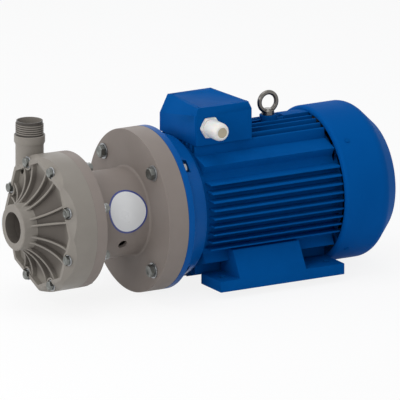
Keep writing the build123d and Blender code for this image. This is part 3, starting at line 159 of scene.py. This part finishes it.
# Ground shafts are bright with a fine turned finish
ground_steel = surface("ground_steel", "#b9b7b2", "#a6a49f", 20.0, 0.25, 1.2, 0.01, metallic=1.0)
bearing_steel = surface("polished_bearing_steel", "#c4c3c0", "#b5b4b1", 20.0, 0.12, 1.0, 0.004, spread=0.02, metallic=1.0)
cast_aluminium = surface("die_cast_aluminium", "#a8a9aa", "#97989a", 14.0, 0.42, 1.6, 0.05, metallic=1.0)
cast_iron = surface("sand_cast_iron", "#4b4a49", "#3c3b3a", 8.0, 0.6, 2.0, 0.12, metallic=0.6)
magnet_alloy = surface("nickel_plated_magnet", "#a9a7a0", "#9b9992", 12.0, 0.22, 1.5, 0.01, metallic=1.0)
black_rubber = surface("nitrile_rubber", "#1b1b1c", "#242425", 10.0, 0.62, 1.0, 0.02, IOR=1.52)
# Natural polyamide: off-white and faintly see-through at thin edges
white_nylon = surface("natural_polyamide", "#e9e7e2", "#dedbd4", 12.0, 0.36, 1.8, 0.02, IOR=1.53, Subsurface_Weight=0.15, Subsurface_Scale=0.002)
beige_plug = surface("moulded_blanking_plug", "#b9ad95", "#ada189", 10.0, 0.5, 1.6, 0.03, IOR=1.49)
ceramic = surface("sintered_alumina", "#efece2", "#e6e2d6", 15.0, 0.2, 1.0, 0.006, IOR=1.76)
bush_carbon = surface("resin_bonded_carbon", "#2a2a2b", "#202021", 10.0, 0.4, 1.0, 0.01, IOR=1.6)
fan_plastic = surface("black_moulded_nylon", "#26272a", "#1e1f21", 20.0, 0.5, 1.8, 0.03, IOR=1.53)
board_plastic = surface("pressed_moulding_resin", "#4d3a2c", "#433226", 12.0, 0.45, 1.4, 0.03, IOR=1.55)
brass_stud = surface("turned_brass", "#c8a45a", "#b6934d", 8.0, 0.25, 1.0, 0.01, metallic=1.0)


def striped(name, base, groove, pitch, axis, rough, metallic, relief):
    """A finish of parallel layers along one axis, pitch millimetres apart."""
    made = surface(name, base, base, 30.0, rough, 2.0, 0.01, metallic=metallic)
    tree = made.node_tree
    place = part_of(made, "ShaderNodeTexCoord").outputs["Object"]
    # One band of the wave texture is about 0.314 of its unit wide
    bands = add(tree, "ShaderNodeTexWave", {"Vector": place, "Scale": 0.314 / (pitch * MM)}, bands_direction=axis)
    blend = part_of(made, "ShaderNodeMix")
    blend.inputs[7].default_value = colour(groove)
    tree.links.new(bands.outputs["Fac"], blend.inputs["Factor"])
    bump = part_of(made, "ShaderNodeBump")
    bump.inputs["Distance"].default_value = relief * MM
    tree.links.new(bands.outputs["Fac"], bump.inputs["Height"])
    return made


# Stacked steel sheets, half a millimetre each, drawn four times as thick so that they show
core_laminations = striped("stacked_lamination_steel", "#57565a", "#2f2e31", 2.0, "X", 0.4, 0.9, 0.1)
# Enamelled copper wire laid side by side and varnished
copper_winding = striped("varnished_copper_winding", "#a4572c", "#5e2b12", 1.6, "X", 0.3, 0.7, 0.2)

# Towards the rim the painted shade fades into the casing's own colour, from 100 to 128 mm off the shaft
recess_tree = recess_painted_shade.node_tree
recess_place = add(recess_tree, "ShaderNodeVectorMath", {
    0: part_of(recess_painted_shade, "ShaderNodeTexCoord").outputs["Object"], 1: (0, 0, -SHAFT_HEIGHT * MM),
}, operation="ADD")
recess_flat = add(recess_tree, "ShaderNodeVectorMath", {0: recess_place.outputs["Vector"], 1: (0, 1, 1)}, operation="MULTIPLY")
recess_radius = add(recess_tree, "ShaderNodeVectorMath", {0: recess_flat.outputs["Vector"]}, operation="LENGTH")
shade_fade = add(recess_tree, "ShaderNodeMapRange", {
    "Value": recess_radius.outputs["Value"], 1: 96 * MM, 2: 130 * MM, 3: 0.0, 4: 1.0,
}, interpolation_type="SMOOTHSTEP")
painted_shade_colour = add(recess_tree, "ShaderNodeMix", {
    "Factor": shade_fade.outputs["Result"], 6: part_of(recess_painted_shade, "ShaderNodeMix").outputs[2], 7: colour("#8b867e"),
}, data_type="RGBA")
recess_tree.links.new(painted_shade_colour.outputs[2], part_of(recess_painted_shade, "ShaderNodeBsdfPrincipled").inputs["Base Color"])

# Printed polyester film: white with a dark blue rim; its middle stays bare
LABEL_TURN = math.radians(73.85)
LABEL_X = ADAPTER_FRONT_X - 52.5
LABEL_RIM_RADIUS = 42.4
label_film = surface("printed_polyester_film", "#dcdddd", "#d4d5d6", 30.0, 0.3, 3.0, 0.005, IOR=1.57, Coat_Weight=0.3)
film_tree = label_film.node_tree
film_place = add(film_tree, "ShaderNodeMapping", {
    "Vector": part_of(label_film, "ShaderNodeTexCoord").outputs["Object"],
    "Location": Vector((LABEL_X, 0, SHAFT_HEIGHT)) * MM,
    "Rotation": (LABEL_TURN, 0, 0),
}, vector_type="TEXTURE")
film_flat = add(film_tree, "ShaderNodeVectorMath", {0: film_place.outputs["Vector"], 1: (1, 1, 0)}, operation="MULTIPLY")
film_radius = add(film_tree, "ShaderNodeVectorMath", {0: film_flat.outputs["Vector"]}, operation="LENGTH")
film_rim = add(film_tree, "ShaderNodeMath", {0: film_radius.outputs["Value"], 1: LABEL_RIM_RADIUS * MM}, operation="GREATER_THAN")
film_print = add(film_tree, "ShaderNodeMix", {
    "Factor": film_rim.outputs["Value"], 6: part_of(label_film, "ShaderNodeMix").outputs[2], 7: colour("#26357f"),
}, data_type="RGBA")
film_tree.links.new(film_print.outputs[2], part_of(label_film, "ShaderNodeBsdfPrincipled").inputs["Base Color"])

finishes = {
    "casing_plastic": casing_plastic, "adapter_plastic": adapter_plastic, "blue_paint": blue_paint,
    "cowl_paint": cowl_paint, "zinc_steel": zinc_steel, "forged_steel": forged_steel, "ground_steel": ground_steel,
    "bearing_steel": bearing_steel, "core_laminations": core_laminations, "copper_winding": copper_winding,
    "cast_aluminium": cast_aluminium, "cast_iron": cast_iron, "magnet_alloy": magnet_alloy,
    "black_rubber": black_rubber, "white_nylon": white_nylon, "beige_plug": beige_plug, "label_film": label_film,
    "ceramic": ceramic, "bush_carbon": bush_carbon, "fan_plastic": fan_plastic, "board_plastic": board_plastic,
    "brass_stud": brass_stud,
}
special = {"drive_end_shield": shield_paint}
slot_of = {}
for subpart in frame["record"]["subparts"]:
    slot_of[subpart["node"]] = subpart["material_slot"]
for name, carried in frame["nodes"].items():
    for place_in_list in range(max(1, len(carried.material_slots))):
        if not carried.material_slots:
            carried.data.materials.append(None)
        carried.material_slots[place_in_list].material = special.get(name, finishes[slot_of[name]])


# Making pieces


def keep(name, mesh, slot, body=FIXED, stands_for=(), smooth_angle=35.0):
    """Puts a finished mesh into the scene as one piece that rides on a body."""
    mesh.name = name
    piece = bpy.data.objects.new(name, mesh)
    bpy.context.scene.collection.objects.link(piece)
    if not mesh.materials:
        mesh.materials.append(special.get(stands_for[0], finishes[slot]) if stands_for else finishes[slot])
    mesh.shade_smooth()
    mesh.set_sharp_from_angle(angle=math.radians(smooth_angle))
    if stands_for:
        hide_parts(*stands_for)
    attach(piece, body)
    return piece


def evaluated_mesh(holder):
    """A plain mesh of what an object's modifiers make; the holder is then thrown away."""
    bpy.context.view_layer.update()
    shown = holder.evaluated_get(bpy.context.evaluated_depsgraph_get())
    mesh = bpy.data.meshes.new_from_object(shown)
    bpy.data.objects.remove(holder)
    return mesh


def run_tree(tree, values):
    """The mesh that a geometry tree makes from values given by input name."""
    holder = bpy.data.objects.new("holder", bpy.data.meshes.new("holder"))
    bpy.context.scene.collection.objects.link(holder)
    modifier = holder.modifiers.new("tree", "NODES")
    modifier.node_group = tree
    for item in tree.interface.items_tree:
        if item.in_out == "INPUT" and item.name in values:
            modifier[item.identifier] = values[item.name]
    return evaluated_mesh(holder)


def new_tree(name, inputs):
    """An empty geometry tree with named inputs (name: socket kind) and its group nodes."""
    tree = bpy.data.node_groups.new(name, "GeometryNodeTree")
    tree.interface.new_socket(name="Geometry", in_out="OUTPUT", socket_type="NodeSocketGeometry")
    for label, kind in inputs.items():
        tree.interface.new_socket(name=label, in_out="INPUT", socket_type=kind)
    return tree, add(tree, "NodeGroupInput").outputs


def end_tree(tree, geometry, material):
    """Realize Instances and Set Material, then the output."""
    real = add(tree, "GeometryNodeRealizeInstances", {"Geometry": geometry})
    dressed = add(tree, "GeometryNodeSetMaterial", {"Geometry": real.outputs["Geometry"], "Material": material})
    add(tree, "NodeGroupOutput", {"Geometry": dressed.outputs["Geometry"]})


def bolt_circle_tree():
    """One part that points along +X, repeated on a circle round the shaft; each copy is rolled a little further."""
    tree, given = new_tree("bolt_circle", {
        "Part": "NodeSocketObject", "Count": "NodeSocketInt", "Circle": "NodeSocketFloat",
        "Station": "NodeSocketFloat", "First Angle": "NodeSocketFloat", "Roll": "NodeSocketFloat",
        "Material": "NodeSocketMaterial",
    })
    part = add(tree, "GeometryNodeObjectInfo", {"Object": given["Part"]})
    points = add(tree, "GeometryNodePoints", {"Count": given["Count"]})
    number = add(tree, "GeometryNodeInputIndex")
    share = add(tree, "ShaderNodeMath", {0: number.outputs["Index"], 1: given["Count"]}, operation="DIVIDE")
    swing = add(tree, "ShaderNodeMath", {0: share.outputs["Value"], 1: math.tau, 2: given["First Angle"]}, operation="MULTIPLY_ADD")
    side = add(tree, "ShaderNodeMath", {0: swing.outputs["Value"]}, operation="SINE")
    side_way = add(tree, "ShaderNodeMath", {0: side.outputs["Value"], 1: given["Circle"]}, operation="MULTIPLY")
    side_back = add(tree, "ShaderNodeMath", {0: side_way.outputs["Value"], 1: -1.0}, operation="MULTIPLY")
    rise = add(tree, "ShaderNodeMath", {0: swing.outputs["Value"]}, operation="COSINE")
    height = add(tree, "ShaderNodeMath", {0: rise.outputs["Value"], 1: given["Circle"], 2: SHAFT_HEIGHT * MM}, operation="MULTIPLY_ADD")
    spot = add(tree, "ShaderNodeCombineXYZ", {0: given["Station"], 1: side_back.outputs["Value"], 2: height.outputs["Value"]})
    placed = add(tree, "GeometryNodeSetPosition", {"Geometry": points.outputs["Points"], "Position": spot.outputs["Vector"]})
    turn = add(tree, "ShaderNodeMath", {0: number.outputs["Index"], 1: given["Roll"]}, operation="MULTIPLY")
    turn_all = add(tree, "ShaderNodeCombineXYZ", {0: turn.outputs["Value"], 1: 0.0, 2: 0.0})
    rotation = add(tree, "FunctionNodeEulerToRotation", {0: turn_all.outputs["Vector"]})
    copies = add(tree, "GeometryNodeInstanceOnPoints", {
        "Points": placed.outputs["Geometry"], "Instance": part.outputs["Geometry"], "Rotation": rotation.outputs["Rotation"],
    })
    end_tree(tree, copies.outputs["Instances"], given["Material"])
    return tree


def screw_thread_tree():
    """A ridge that winds round the Z axis."""
    tree, given = new_tree("screw_thread", {
        "Radius": "NodeSocketFloat", "Length": "NodeSocketFloat", "Pitch": "NodeSocketFloat",
        "Depth": "NodeSocketFloat", "Inner Width": "NodeSocketFloat", "Outer Width": "NodeSocketFloat",
        "Steps": "NodeSocketInt",
        "Material": "NodeSocketMaterial",
    })
    turns = add(tree, "ShaderNodeMath", {0: given["Length"], 1: given["Pitch"]}, operation="DIVIDE")
    line = add(tree, "GeometryNodeCurveSpiral", {
        "Resolution": given["Steps"], "Rotations": turns.outputs["Value"], "Start Radius": given["Radius"],
        "End Radius": given["Radius"], "Height": given["Length"],
    })
    upright = add(tree, "GeometryNodeSetCurveNormal", {"Curve": line.outputs["Curve"]}, mode="Z_UP")
    ridge = add(tree, "GeometryNodeCurvePrimitiveQuadrilateral", {
        "Bottom Width": given["Inner Width"], "Top Width": given["Outer Width"], "Height": given["Depth"], "Offset": 0.0,
    }, mode="TRAPEZOID")
    # The trapezoid's top points away from the axis
    outward = add(tree, "GeometryNodeTransform", {
        "Geometry": ridge.outputs["Curve"], "Rotation": (0.0, 0.0, -math.pi / 2),
    })
    swept = add(tree, "GeometryNodeCurveToMesh", {
        "Curve": upright.outputs["Curve"], "Profile Curve": outward.outputs["Geometry"], "Fill Caps": True,
    })
    end_tree(tree, swept.outputs["Mesh"], given["Material"])
    return tree


bolt_circle = bolt_circle_tree()
screw_thread = screw_thread_tree()


def thread_mesh(low, high, length, pitch, material, steps=48, inside=False, share=0.96):
    """Thread turns between two radii; inside a bore the narrow crest is the inner side."""
    root = pitch * share
    crest = pitch * 0.15
    return run_tree(screw_thread, {
        "Radius": (low + high) / 2 * MM, "Length": length * MM, "Pitch": pitch * MM, "Depth": (high - low) * MM,
        "Inner Width": (crest if inside else root) * MM, "Outer Width": (root if inside else crest) * MM,
        "Steps": steps, "Material": material,
    })


def loops_to_mesh(name, loops):
    """Closed mesh from rings of points, all with the same count; one-point rings close the ends."""
    shape = bmesh.new()
    rows = [[shape.verts.new(Vector(point) * MM) for point in loop] for loop in loops]
    for low, high in zip(rows, rows[1:]):
        count = max(len(low), len(high))
        for n in range(count):
            corners = [low[n % len(low)], low[(n + 1) % len(low)], high[(n + 1) % len(high)], high[n % len(high)]]
            unique = [c for i, c in enumerate(corners) if c not in corners[:i]]
            shape.faces.new(unique)
    bmesh.ops.recalc_face_normals(shape, faces=shape.faces)
    mesh = bpy.data.meshes.new(name)
    shape.to_mesh(mesh)
    shape.free()
    return mesh


def circle_points(radius, z, count=48):
    return [(radius * math.cos(math.tau * n / count), radius * math.sin(math.tau * n / count), z) for n in range(count)]


def hex_points(flats, z_of_radius, count=48):
    """Points round a hexagon, each as high as z_of_radius says for its distance from the middle."""
    points = []
    for n in range(count):
        angle = math.tau * n / count
        radius = flats / 2 / math.cos((angle + math.pi / 6) % (math.pi / 3) - math.pi / 6)
        points.append((radius * math.cos(angle), radius * math.sin(angle), z_of_radius(radius)))
    return points


def hex_bolt(name, radius, flats, head, length):
    """Hexagon bolt along +Z, seat at 0: crowned head with a shallow cup, washer face, and a bevelled end."""
    crown = flats / 2 * 0.93
    face = flats / 2 * 0.97

    def top(distance):
        return -head + max(0.0, distance - crown) * math.tan(math.radians(30))

    return loops_to_mesh(name, [
        [(0, 0, -head + 1.0)],
        circle_points(crown * 0.55, -head + 1.0),
        circle_points(crown * 0.72, -head + 0.15),
        circle_points(crown * 0.8, -head),
        circle_points(crown, -head),
        hex_points(flats, top),
        hex_points(flats, lambda distance: -0.6 - max(0.0, distance - face) * 0.2),
        circle_points(face, -0.5),
        circle_points(face, 0),
        circle_points(radius, 0),
        circle_points(radius, length - 1.0),
        circle_points(radius - 1.0, length),
        [(0, 0, length)],
    ])


def hex_nut(name, radius, flats, height):
    """Hexagon nut from 0 to height, both ends crowned and the bore countersunk."""
    crown = flats / 2 * 0.95

    def fall(distance):
        return max(0.0, distance - crown) * math.tan(math.radians(30))

    bore = [
        circle_points(radius, 0.8),
        circle_points(radius + 0.8, 0),
        circle_points(crown, 0),
        hex_points(flats, fall),
        hex_points(flats, lambda distance: height - fall(distance)),
        circle_points(crown, height),
        circle_points(radius + 0.8, height),
        circle_points(radius, height - 0.8),
        circle_points(radius, 0.8),
    ]
    return loops_to_mesh(name, bore)


def plain_washer(name, inner, outer, low, high):
    soft = 0.4
    return loops_to_mesh(name, [
        circle_points(inner, low), circle_points(outer - soft, low), circle_points(outer, low + soft),
        circle_points(outer, high - soft), circle_points(outer - soft, high), circle_points(inner, high),
        circle_points(inner, low),
    ])


def on_circle(meshes, count, circle, first_angle, finish, name, node, roll=0.0):
    """Meshes at their stations, repeated round the shaft and joined into one piece for a CAD node."""
    joined = bmesh.new()
    for upright, station in meshes:
        mesh = upright.copy()
        mesh.transform(Matrix.Rotation(math.pi / 2, 4, "Y"))
        part = bpy.data.objects.new("part", mesh)
        bpy.context.scene.collection.objects.link(part)
        made = run_tree(bolt_circle, {
            "Part": part, "Count": count, "Circle": circle * MM, "Station": station * MM,
            "First Angle": math.radians(first_angle), "Roll": math.radians(roll), "Material": finish,
        })
        bpy.data.objects.remove(part)
        joined.from_mesh(made)
    mesh = bpy.data.meshes.new(name)
    bmesh.ops.remove_doubles(joined, verts=joined.verts, dist=0.01 * MM)
    bmesh.ops.recalc_face_normals(joined, faces=joined.faces)
    joined.to_mesh(mesh)
    joined.free()
    mesh.materials.append(finish)
    return keep(name, mesh, "zinc_steel", stands_for=(node,), smooth_angle=28.0)


def with_thread(body, radius, start, end, pitch):
    """A bolt's mesh with a screw thread over part of its shank."""
    shape = bmesh.new()
    shape.from_mesh(body)
    ridge = thread_mesh(radius - 0.3, radius + 0.2, end - start, pitch, zinc_steel, steps=20)
    for vertex in ridge.vertices:
        vertex.co.z += start * MM
    shape.from_mesh(ridge)
    mesh = bpy.data.meshes.new(body.name)
    shape.to_mesh(mesh)
    shape.free()
    return mesh


# Casing fasteners: M12 with coarse thread 1.75
casing_bolt = with_thread(hex_bolt("casing_bolt", 5.8, 18.0, 7.5, 99.5), 5.8, 86.0, 98.5, 1.75)
on_circle([(casing_bolt, CASING_BOLT_SEAT_X - 2.5)], 8, CASING_BOLT_CIRCLE, 22.5, zinc_steel, "casing_bolts_turned", "casing_bolts", roll=17.0)
front_washer = plain_washer("casing_washer", 6.5, 12.0, -2.5, 0.0)
on_circle([(front_washer, CASING_BOLT_SEAT_X), (front_washer, PLATE_BACK_X + 2.5)], 8, CASING_BOLT_CIRCLE, 22.5, washer_steel, "casing_washers_pressed", "casing_washers")
casing_nut = hex_nut("casing_nut", 6.05, 18.0, 10.0)
on_circle([(casing_nut, PLATE_BACK_X + 2.5)], 8, CASING_BOLT_CIRCLE, 22.5, zinc_steel, "casing_nuts_tapped", "casing_nuts", roll=11.0)

# Flange fasteners: M16 with coarse thread 2
flange_bolt = with_thread(hex_bolt("flange_bolt", 7.8, 24.0, 10.0, 81.2), 7.8, 64.0, 80.0, 2.0)
on_circle([(flange_bolt, ADAPTER_FRONT_X - 3.0)], 4, FLANGE_BOLT_CIRCLE, 45.0, zinc_steel, "flange_bolts_turned", "flange_bolts", roll=9.0)
flange_washer = plain_washer("flange_washer", 9.0, 17.0, -3.0, 0.0)
on_circle([(flange_washer, ADAPTER_FRONT_X)], 4, FLANGE_BOLT_CIRCLE, 45.0, washer_steel, "flange_washers_pressed", "flange_washers")
flange_nut = hex_nut("flange_nut", 8.05, 24.0, 13.0)
on_circle([(flange_nut, FLANGE_BACK_X)], 4, FLANGE_BOLT_CIRCLE, 45.0, washer_steel, "flange_nuts_tapped", "flange_nuts", roll=13.0)

# Pipe thread on the discharge: eleven turns to the inch is 2.3 mm, drawn at the photograph's coarser 4.6 mm
DISCHARGE_X = CASING_JOINT_X - 32.0
DISCHARGE_Y = 89.0
PIPE_TOP = 174.5
THREAD_CREST = 29.8
THREAD_ROOT = 28.1
pipe_thread = thread_mesh(THREAD_ROOT - 0.1, THREAD_CREST, 23.0, 4.6, casing_plastic, steps=72, share=0.5)
for vertex in pipe_thread.vertices:
    vertex.co += Vector((DISCHARGE_X, DISCHARGE_Y, SHAFT_HEIGHT + PIPE_TOP)) * MM
keep("discharge_thread", pipe_thread, "casing_plastic", smooth_angle=20.0)

# Pipe thread inside the suction port, drawn as coarse
SUCTION_FACE_X = -562.7
# Its finish is the recess's painted shade
port_thread = thread_mesh(31.9, 33.3, 18.0, 4.0, recess_painted_shade, steps=72, inside=True)
port_thread.transform(Matrix.Translation(Vector((SUCTION_FACE_X + 3.0, 0, SHAFT_HEIGHT)) * MM) @ Matrix.Rotation(math.pi / 2, 4, "Y"))
keep("suction_thread", port_thread, "casing_plastic", smooth_angle=20.0)


# Cast and moulded pieces with their edges rounded as sand and tools leave them


def softened(node, width, limit=38.0, steps=2, sharp=35.0, spare=None, move=None, others=(), which=None):
    """A copy of a CAD piece with its edges rounded by width millimetres; it stands for the piece.

    Edges flatter than limit degrees stay, and so do those whose middle spare says yes to.
    move gives each corner's new place. which picks a face's finish by its corners: 0 the node's own, then others.
    """
    shape = bmesh.new()
    shape.from_mesh(frame["nodes"][node].data)
    bmesh.ops.remove_doubles(shape, verts=shape.verts, dist=0.004 * MM)
    bmesh.ops.dissolve_limit(shape, angle_limit=math.radians(0.6), verts=shape.verts, edges=shape.edges)
    for vertex in shape.verts if move else ():
        vertex.co = move(vertex.co / MM) * MM
    room = 2.2 * width * MM
    edges = set()
    for edge in shape.edges:
        if len(edge.link_faces) != 2 or edge.calc_face_angle(0.0) < math.radians(limit):
            continue
        if min(face.calc_area() for face in edge.link_faces) < room * edge.calc_length():
            continue
        middle = (edge.verts[0].co + edge.verts[1].co) / 2 / MM
        if spare is None or not spare(middle):
            edges.add(edge)
    # An edge keeps its corner where a shorter one meets it, since the rounding wouldn't fit there
    crowded = True
    while crowded:
        crowded = [
            edge for edge in edges
            if any(side not in edges and side.calc_length() < room for end in edge.verts for side in end.link_edges)
        ]
        edges.difference_update(crowded)
    bmesh.ops.bevel(
        shape, geom=list(edges), offset=width * MM, offset_type="OFFSET", segments=steps, profile=0.5,
        affect="EDGES", clamp_overlap=False, miter_outer="SHARP",
    )
    bmesh.ops.triangulate(shape, faces=[face for face in shape.faces if len(face.verts) > 4])
    bmesh.ops.recalc_face_normals(shape, faces=shape.faces)
    mesh = bpy.data.meshes.new(node)
    shape.to_mesh(mesh)
    shape.free()
    holder = bpy.data.objects.new("holder", mesh)
    bpy.context.scene.collection.objects.link(holder)
    mesh.shade_smooth()
    mesh.set_sharp_from_angle(angle=math.radians(sharp))
    even = holder.modifiers.new("even", "WEIGHTED_NORMAL")
    even.keep_sharp = True
    soft = evaluated_mesh(holder)
    soft.materials.clear()
    if others:
        for finish in (finishes[slot_of[node]], *others):
            soft.materials.append(finish)
        for face in soft.polygons:
            face.material_index = which([soft.vertices[corner].co / MM for corner in face.vertices])
    return keep(node + "_soft", soft, slot_of[node], stands_for=(node,), smooth_angle=sharp)


SEAM_HEIGHT = SHAFT_HEIGHT + 206.0
# Radius and height ahead of the joint along the dish's floor
DISH_LINE = ((50.0, 90.0), (62.0, 75.0), (80.0, 62.0), (105.0, 53.5), (136.0, 51.0))


def in_painted_shade(corners):
    """True for the faces that get painted shade: the dish's floor, the flanks of the ribs and the inside of the suction
    bore.
    """
    spot = sum(corners, Vector()) / len(corners)
    radius = math.hypot(spot.y, spot.z - SHAFT_HEIGHT)
    lowest = CASING_JOINT_X - max(corner.x for corner in corners)
    if radius < 34.0:
        return True
    for (near, high), (far, low) in zip(DISH_LINE, DISH_LINE[1:]):
        if near < radius <= far:
            floor_here = high + (low - high) * (radius - near) / (far - near)
            return abs(lowest - floor_here) < 5.0 or abs(CASING_JOINT_X - spot.x - floor_here) < 6.0
    return False


def cut_to_root(spot):
    """Takes the plain end of the discharge pipe down to the root of its thread."""
    away = Vector((spot.x - DISCHARGE_X, spot.y - DISCHARGE_Y, 0))
    if spot.z < SHAFT_HEIGHT + PIPE_TOP - 3.0 or not THREAD_ROOT < away.length < THREAD_CREST + 0.2:
        return spot
    return spot - away.normalized() * (away.length - THREAD_ROOT)


def casing_finish(corners):
    """0 for the plain skin, 1 for the painted shade between the ribs, 2 for the painted shade at the root of the
    discharge thread.
    """
    if min(corner.z for corner in corners) > SHAFT_HEIGHT + PIPE_TOP - 3.0:
        return 2
    return int(in_painted_shade(corners))


# The mould leaves the casing's corners crisp, so they get a hairline only
# The faces between the ribs and at the discharge thread's root take painted shade
softened("front_casing", 0.05, move=cut_to_root, others=(recess_painted_shade, thread_root_painted_shade), which=casing_finish)
softened("adapter_bracket", 0.8)
softened("stator_frame", 0.7)
softened("drive_end_shield", 0.8)
softened("foot_left", 1.2)
softened("foot_right", 1.2)
softened("terminal_box_base", 1.5, limit=20.0, spare=lambda middle: middle.z > SEAM_HEIGHT - 1.0)
softened("terminal_box_lid", 1.5, limit=20.0, spare=lambda middle: middle.z < SEAM_HEIGHT + 1.0)


# Floor, backdrop and light

FLOOR_HEIGHT = -16.0
floor_shape = bmesh.new()
bmesh.ops.create_grid(floor_shape, x_segments=1, y_segments=1, size=14.0)
bmesh.ops.translate(floor_shape, verts=floor_shape.verts, vec=(0, 0, FLOOR_HEIGHT * MM))
floor_mesh = bpy.data.meshes.new("studio_floor")
floor_shape.to_mesh(floor_mesh)
floor_shape.free()
floor = bpy.data.objects.new("studio_floor", floor_mesh)
bpy.context.scene.collection.objects.link(floor)
floor_paint = bpy.data.materials.new("white_studio_floor")
floor_paint.use_nodes = True
floor_tree = floor_paint.node_tree
floor_tree.nodes.clear()
matt = add(floor_tree, "ShaderNodeBsdfDiffuse", {"Color": colour("#f4f4f4")})
glow = add(floor_tree, "ShaderNodeEmission", {"Color": (1, 1, 1, 1), "Strength": 1.0})
path = add(floor_tree, "ShaderNodeLightPath")
seen_through = add(floor_tree, "ShaderNodeMath", {0: path.outputs["Is Camera Ray"], 1: path.outputs["Is Transmission Ray"]}, operation="MAXIMUM")
seen_at_all = add(floor_tree, "ShaderNodeMath", {0: seen_through.outputs["Value"], 1: path.outputs["Is Glossy Ray"]}, operation="MAXIMUM")
seen_share = add(floor_tree, "ShaderNodeMath", {0: seen_at_all.outputs["Value"], 1: 0.86}, operation="MULTIPLY")
floor_mix = add(floor_tree, "ShaderNodeMixShader", {0: seen_share.outputs["Value"], 1: matt.outputs["BSDF"], 2: glow.outputs["Emission"]})
add(floor_tree, "ShaderNodeOutputMaterial", {"Surface": floor_mix.outputs["Shader"]})
floor_mesh.materials.append(floor_paint)

world = bpy.data.worlds.new("studio")
bpy.context.scene.world = world
world.use_nodes = True
sky = world.node_tree
sky.nodes.clear()
rays = add(sky, "ShaderNodeLightPath")
seen_direct = add(sky, "ShaderNodeMath", {0: rays.outputs["Is Camera Ray"], 1: rays.outputs["Is Transmission Ray"]}, operation="MAXIMUM")
seen_or_mirrored = add(sky, "ShaderNodeMath", {0: seen_direct.outputs["Value"], 1: rays.outputs["Is Glossy Ray"]}, operation="MAXIMUM")
plain_sky = add(sky, "ShaderNodeBackground", {"Color": colour("#ffffff"), "Strength": 1.0})
soft_sky = add(sky, "ShaderNodeBackground", {"Color": colour("#f2f4f8"), "Strength": 0.56})
sky_mix = add(sky, "ShaderNodeMixShader", {0: seen_or_mirrored.outputs["Value"], 1: soft_sky.outputs["Background"], 2: plain_sky.outputs["Background"]})
add(sky, "ShaderNodeOutputWorld", {"Surface": sky_mix.outputs["Shader"]})

object_middle = Vector((-100, 0, 160)) * MM


def lamp(name, direction, distance, size, power, tint="#ffffff"):
    """A square soft box that faces the object from a direction."""
    light = bpy.data.lights.new(name, "AREA")
    light.shape = "SQUARE"
    light.size = size
    light.energy = power
    light.color = colour(tint)[:3]
    way = Vector(direction).normalized()
    box = bpy.data.objects.new(name, light)
    box.matrix_world = Matrix.Translation(object_middle + way * distance) @ way.to_track_quat("Z", "Y").to_matrix().to_4x4()
    bpy.context.scene.collection.objects.link(box)


lamp("overhead_softbox", (-0.1, 0.0, 1.0), 2.2, 1.6, 17.0)
lamp("front_left_softbox", (-0.95, -0.6, 0.5), 2.4, 1.2, 14.0)
lamp("front_right_softbox", (-1.0, 0.55, 0.3), 2.4, 1.6, 12.0)
lamp("right_fill_softbox", (0.7, -1.0, 0.2), 2.6, 1.6, 2.0)
lamp("rear_softbox", (0.4, 1.0, 0.7), 2.4, 1.6, 5.0)
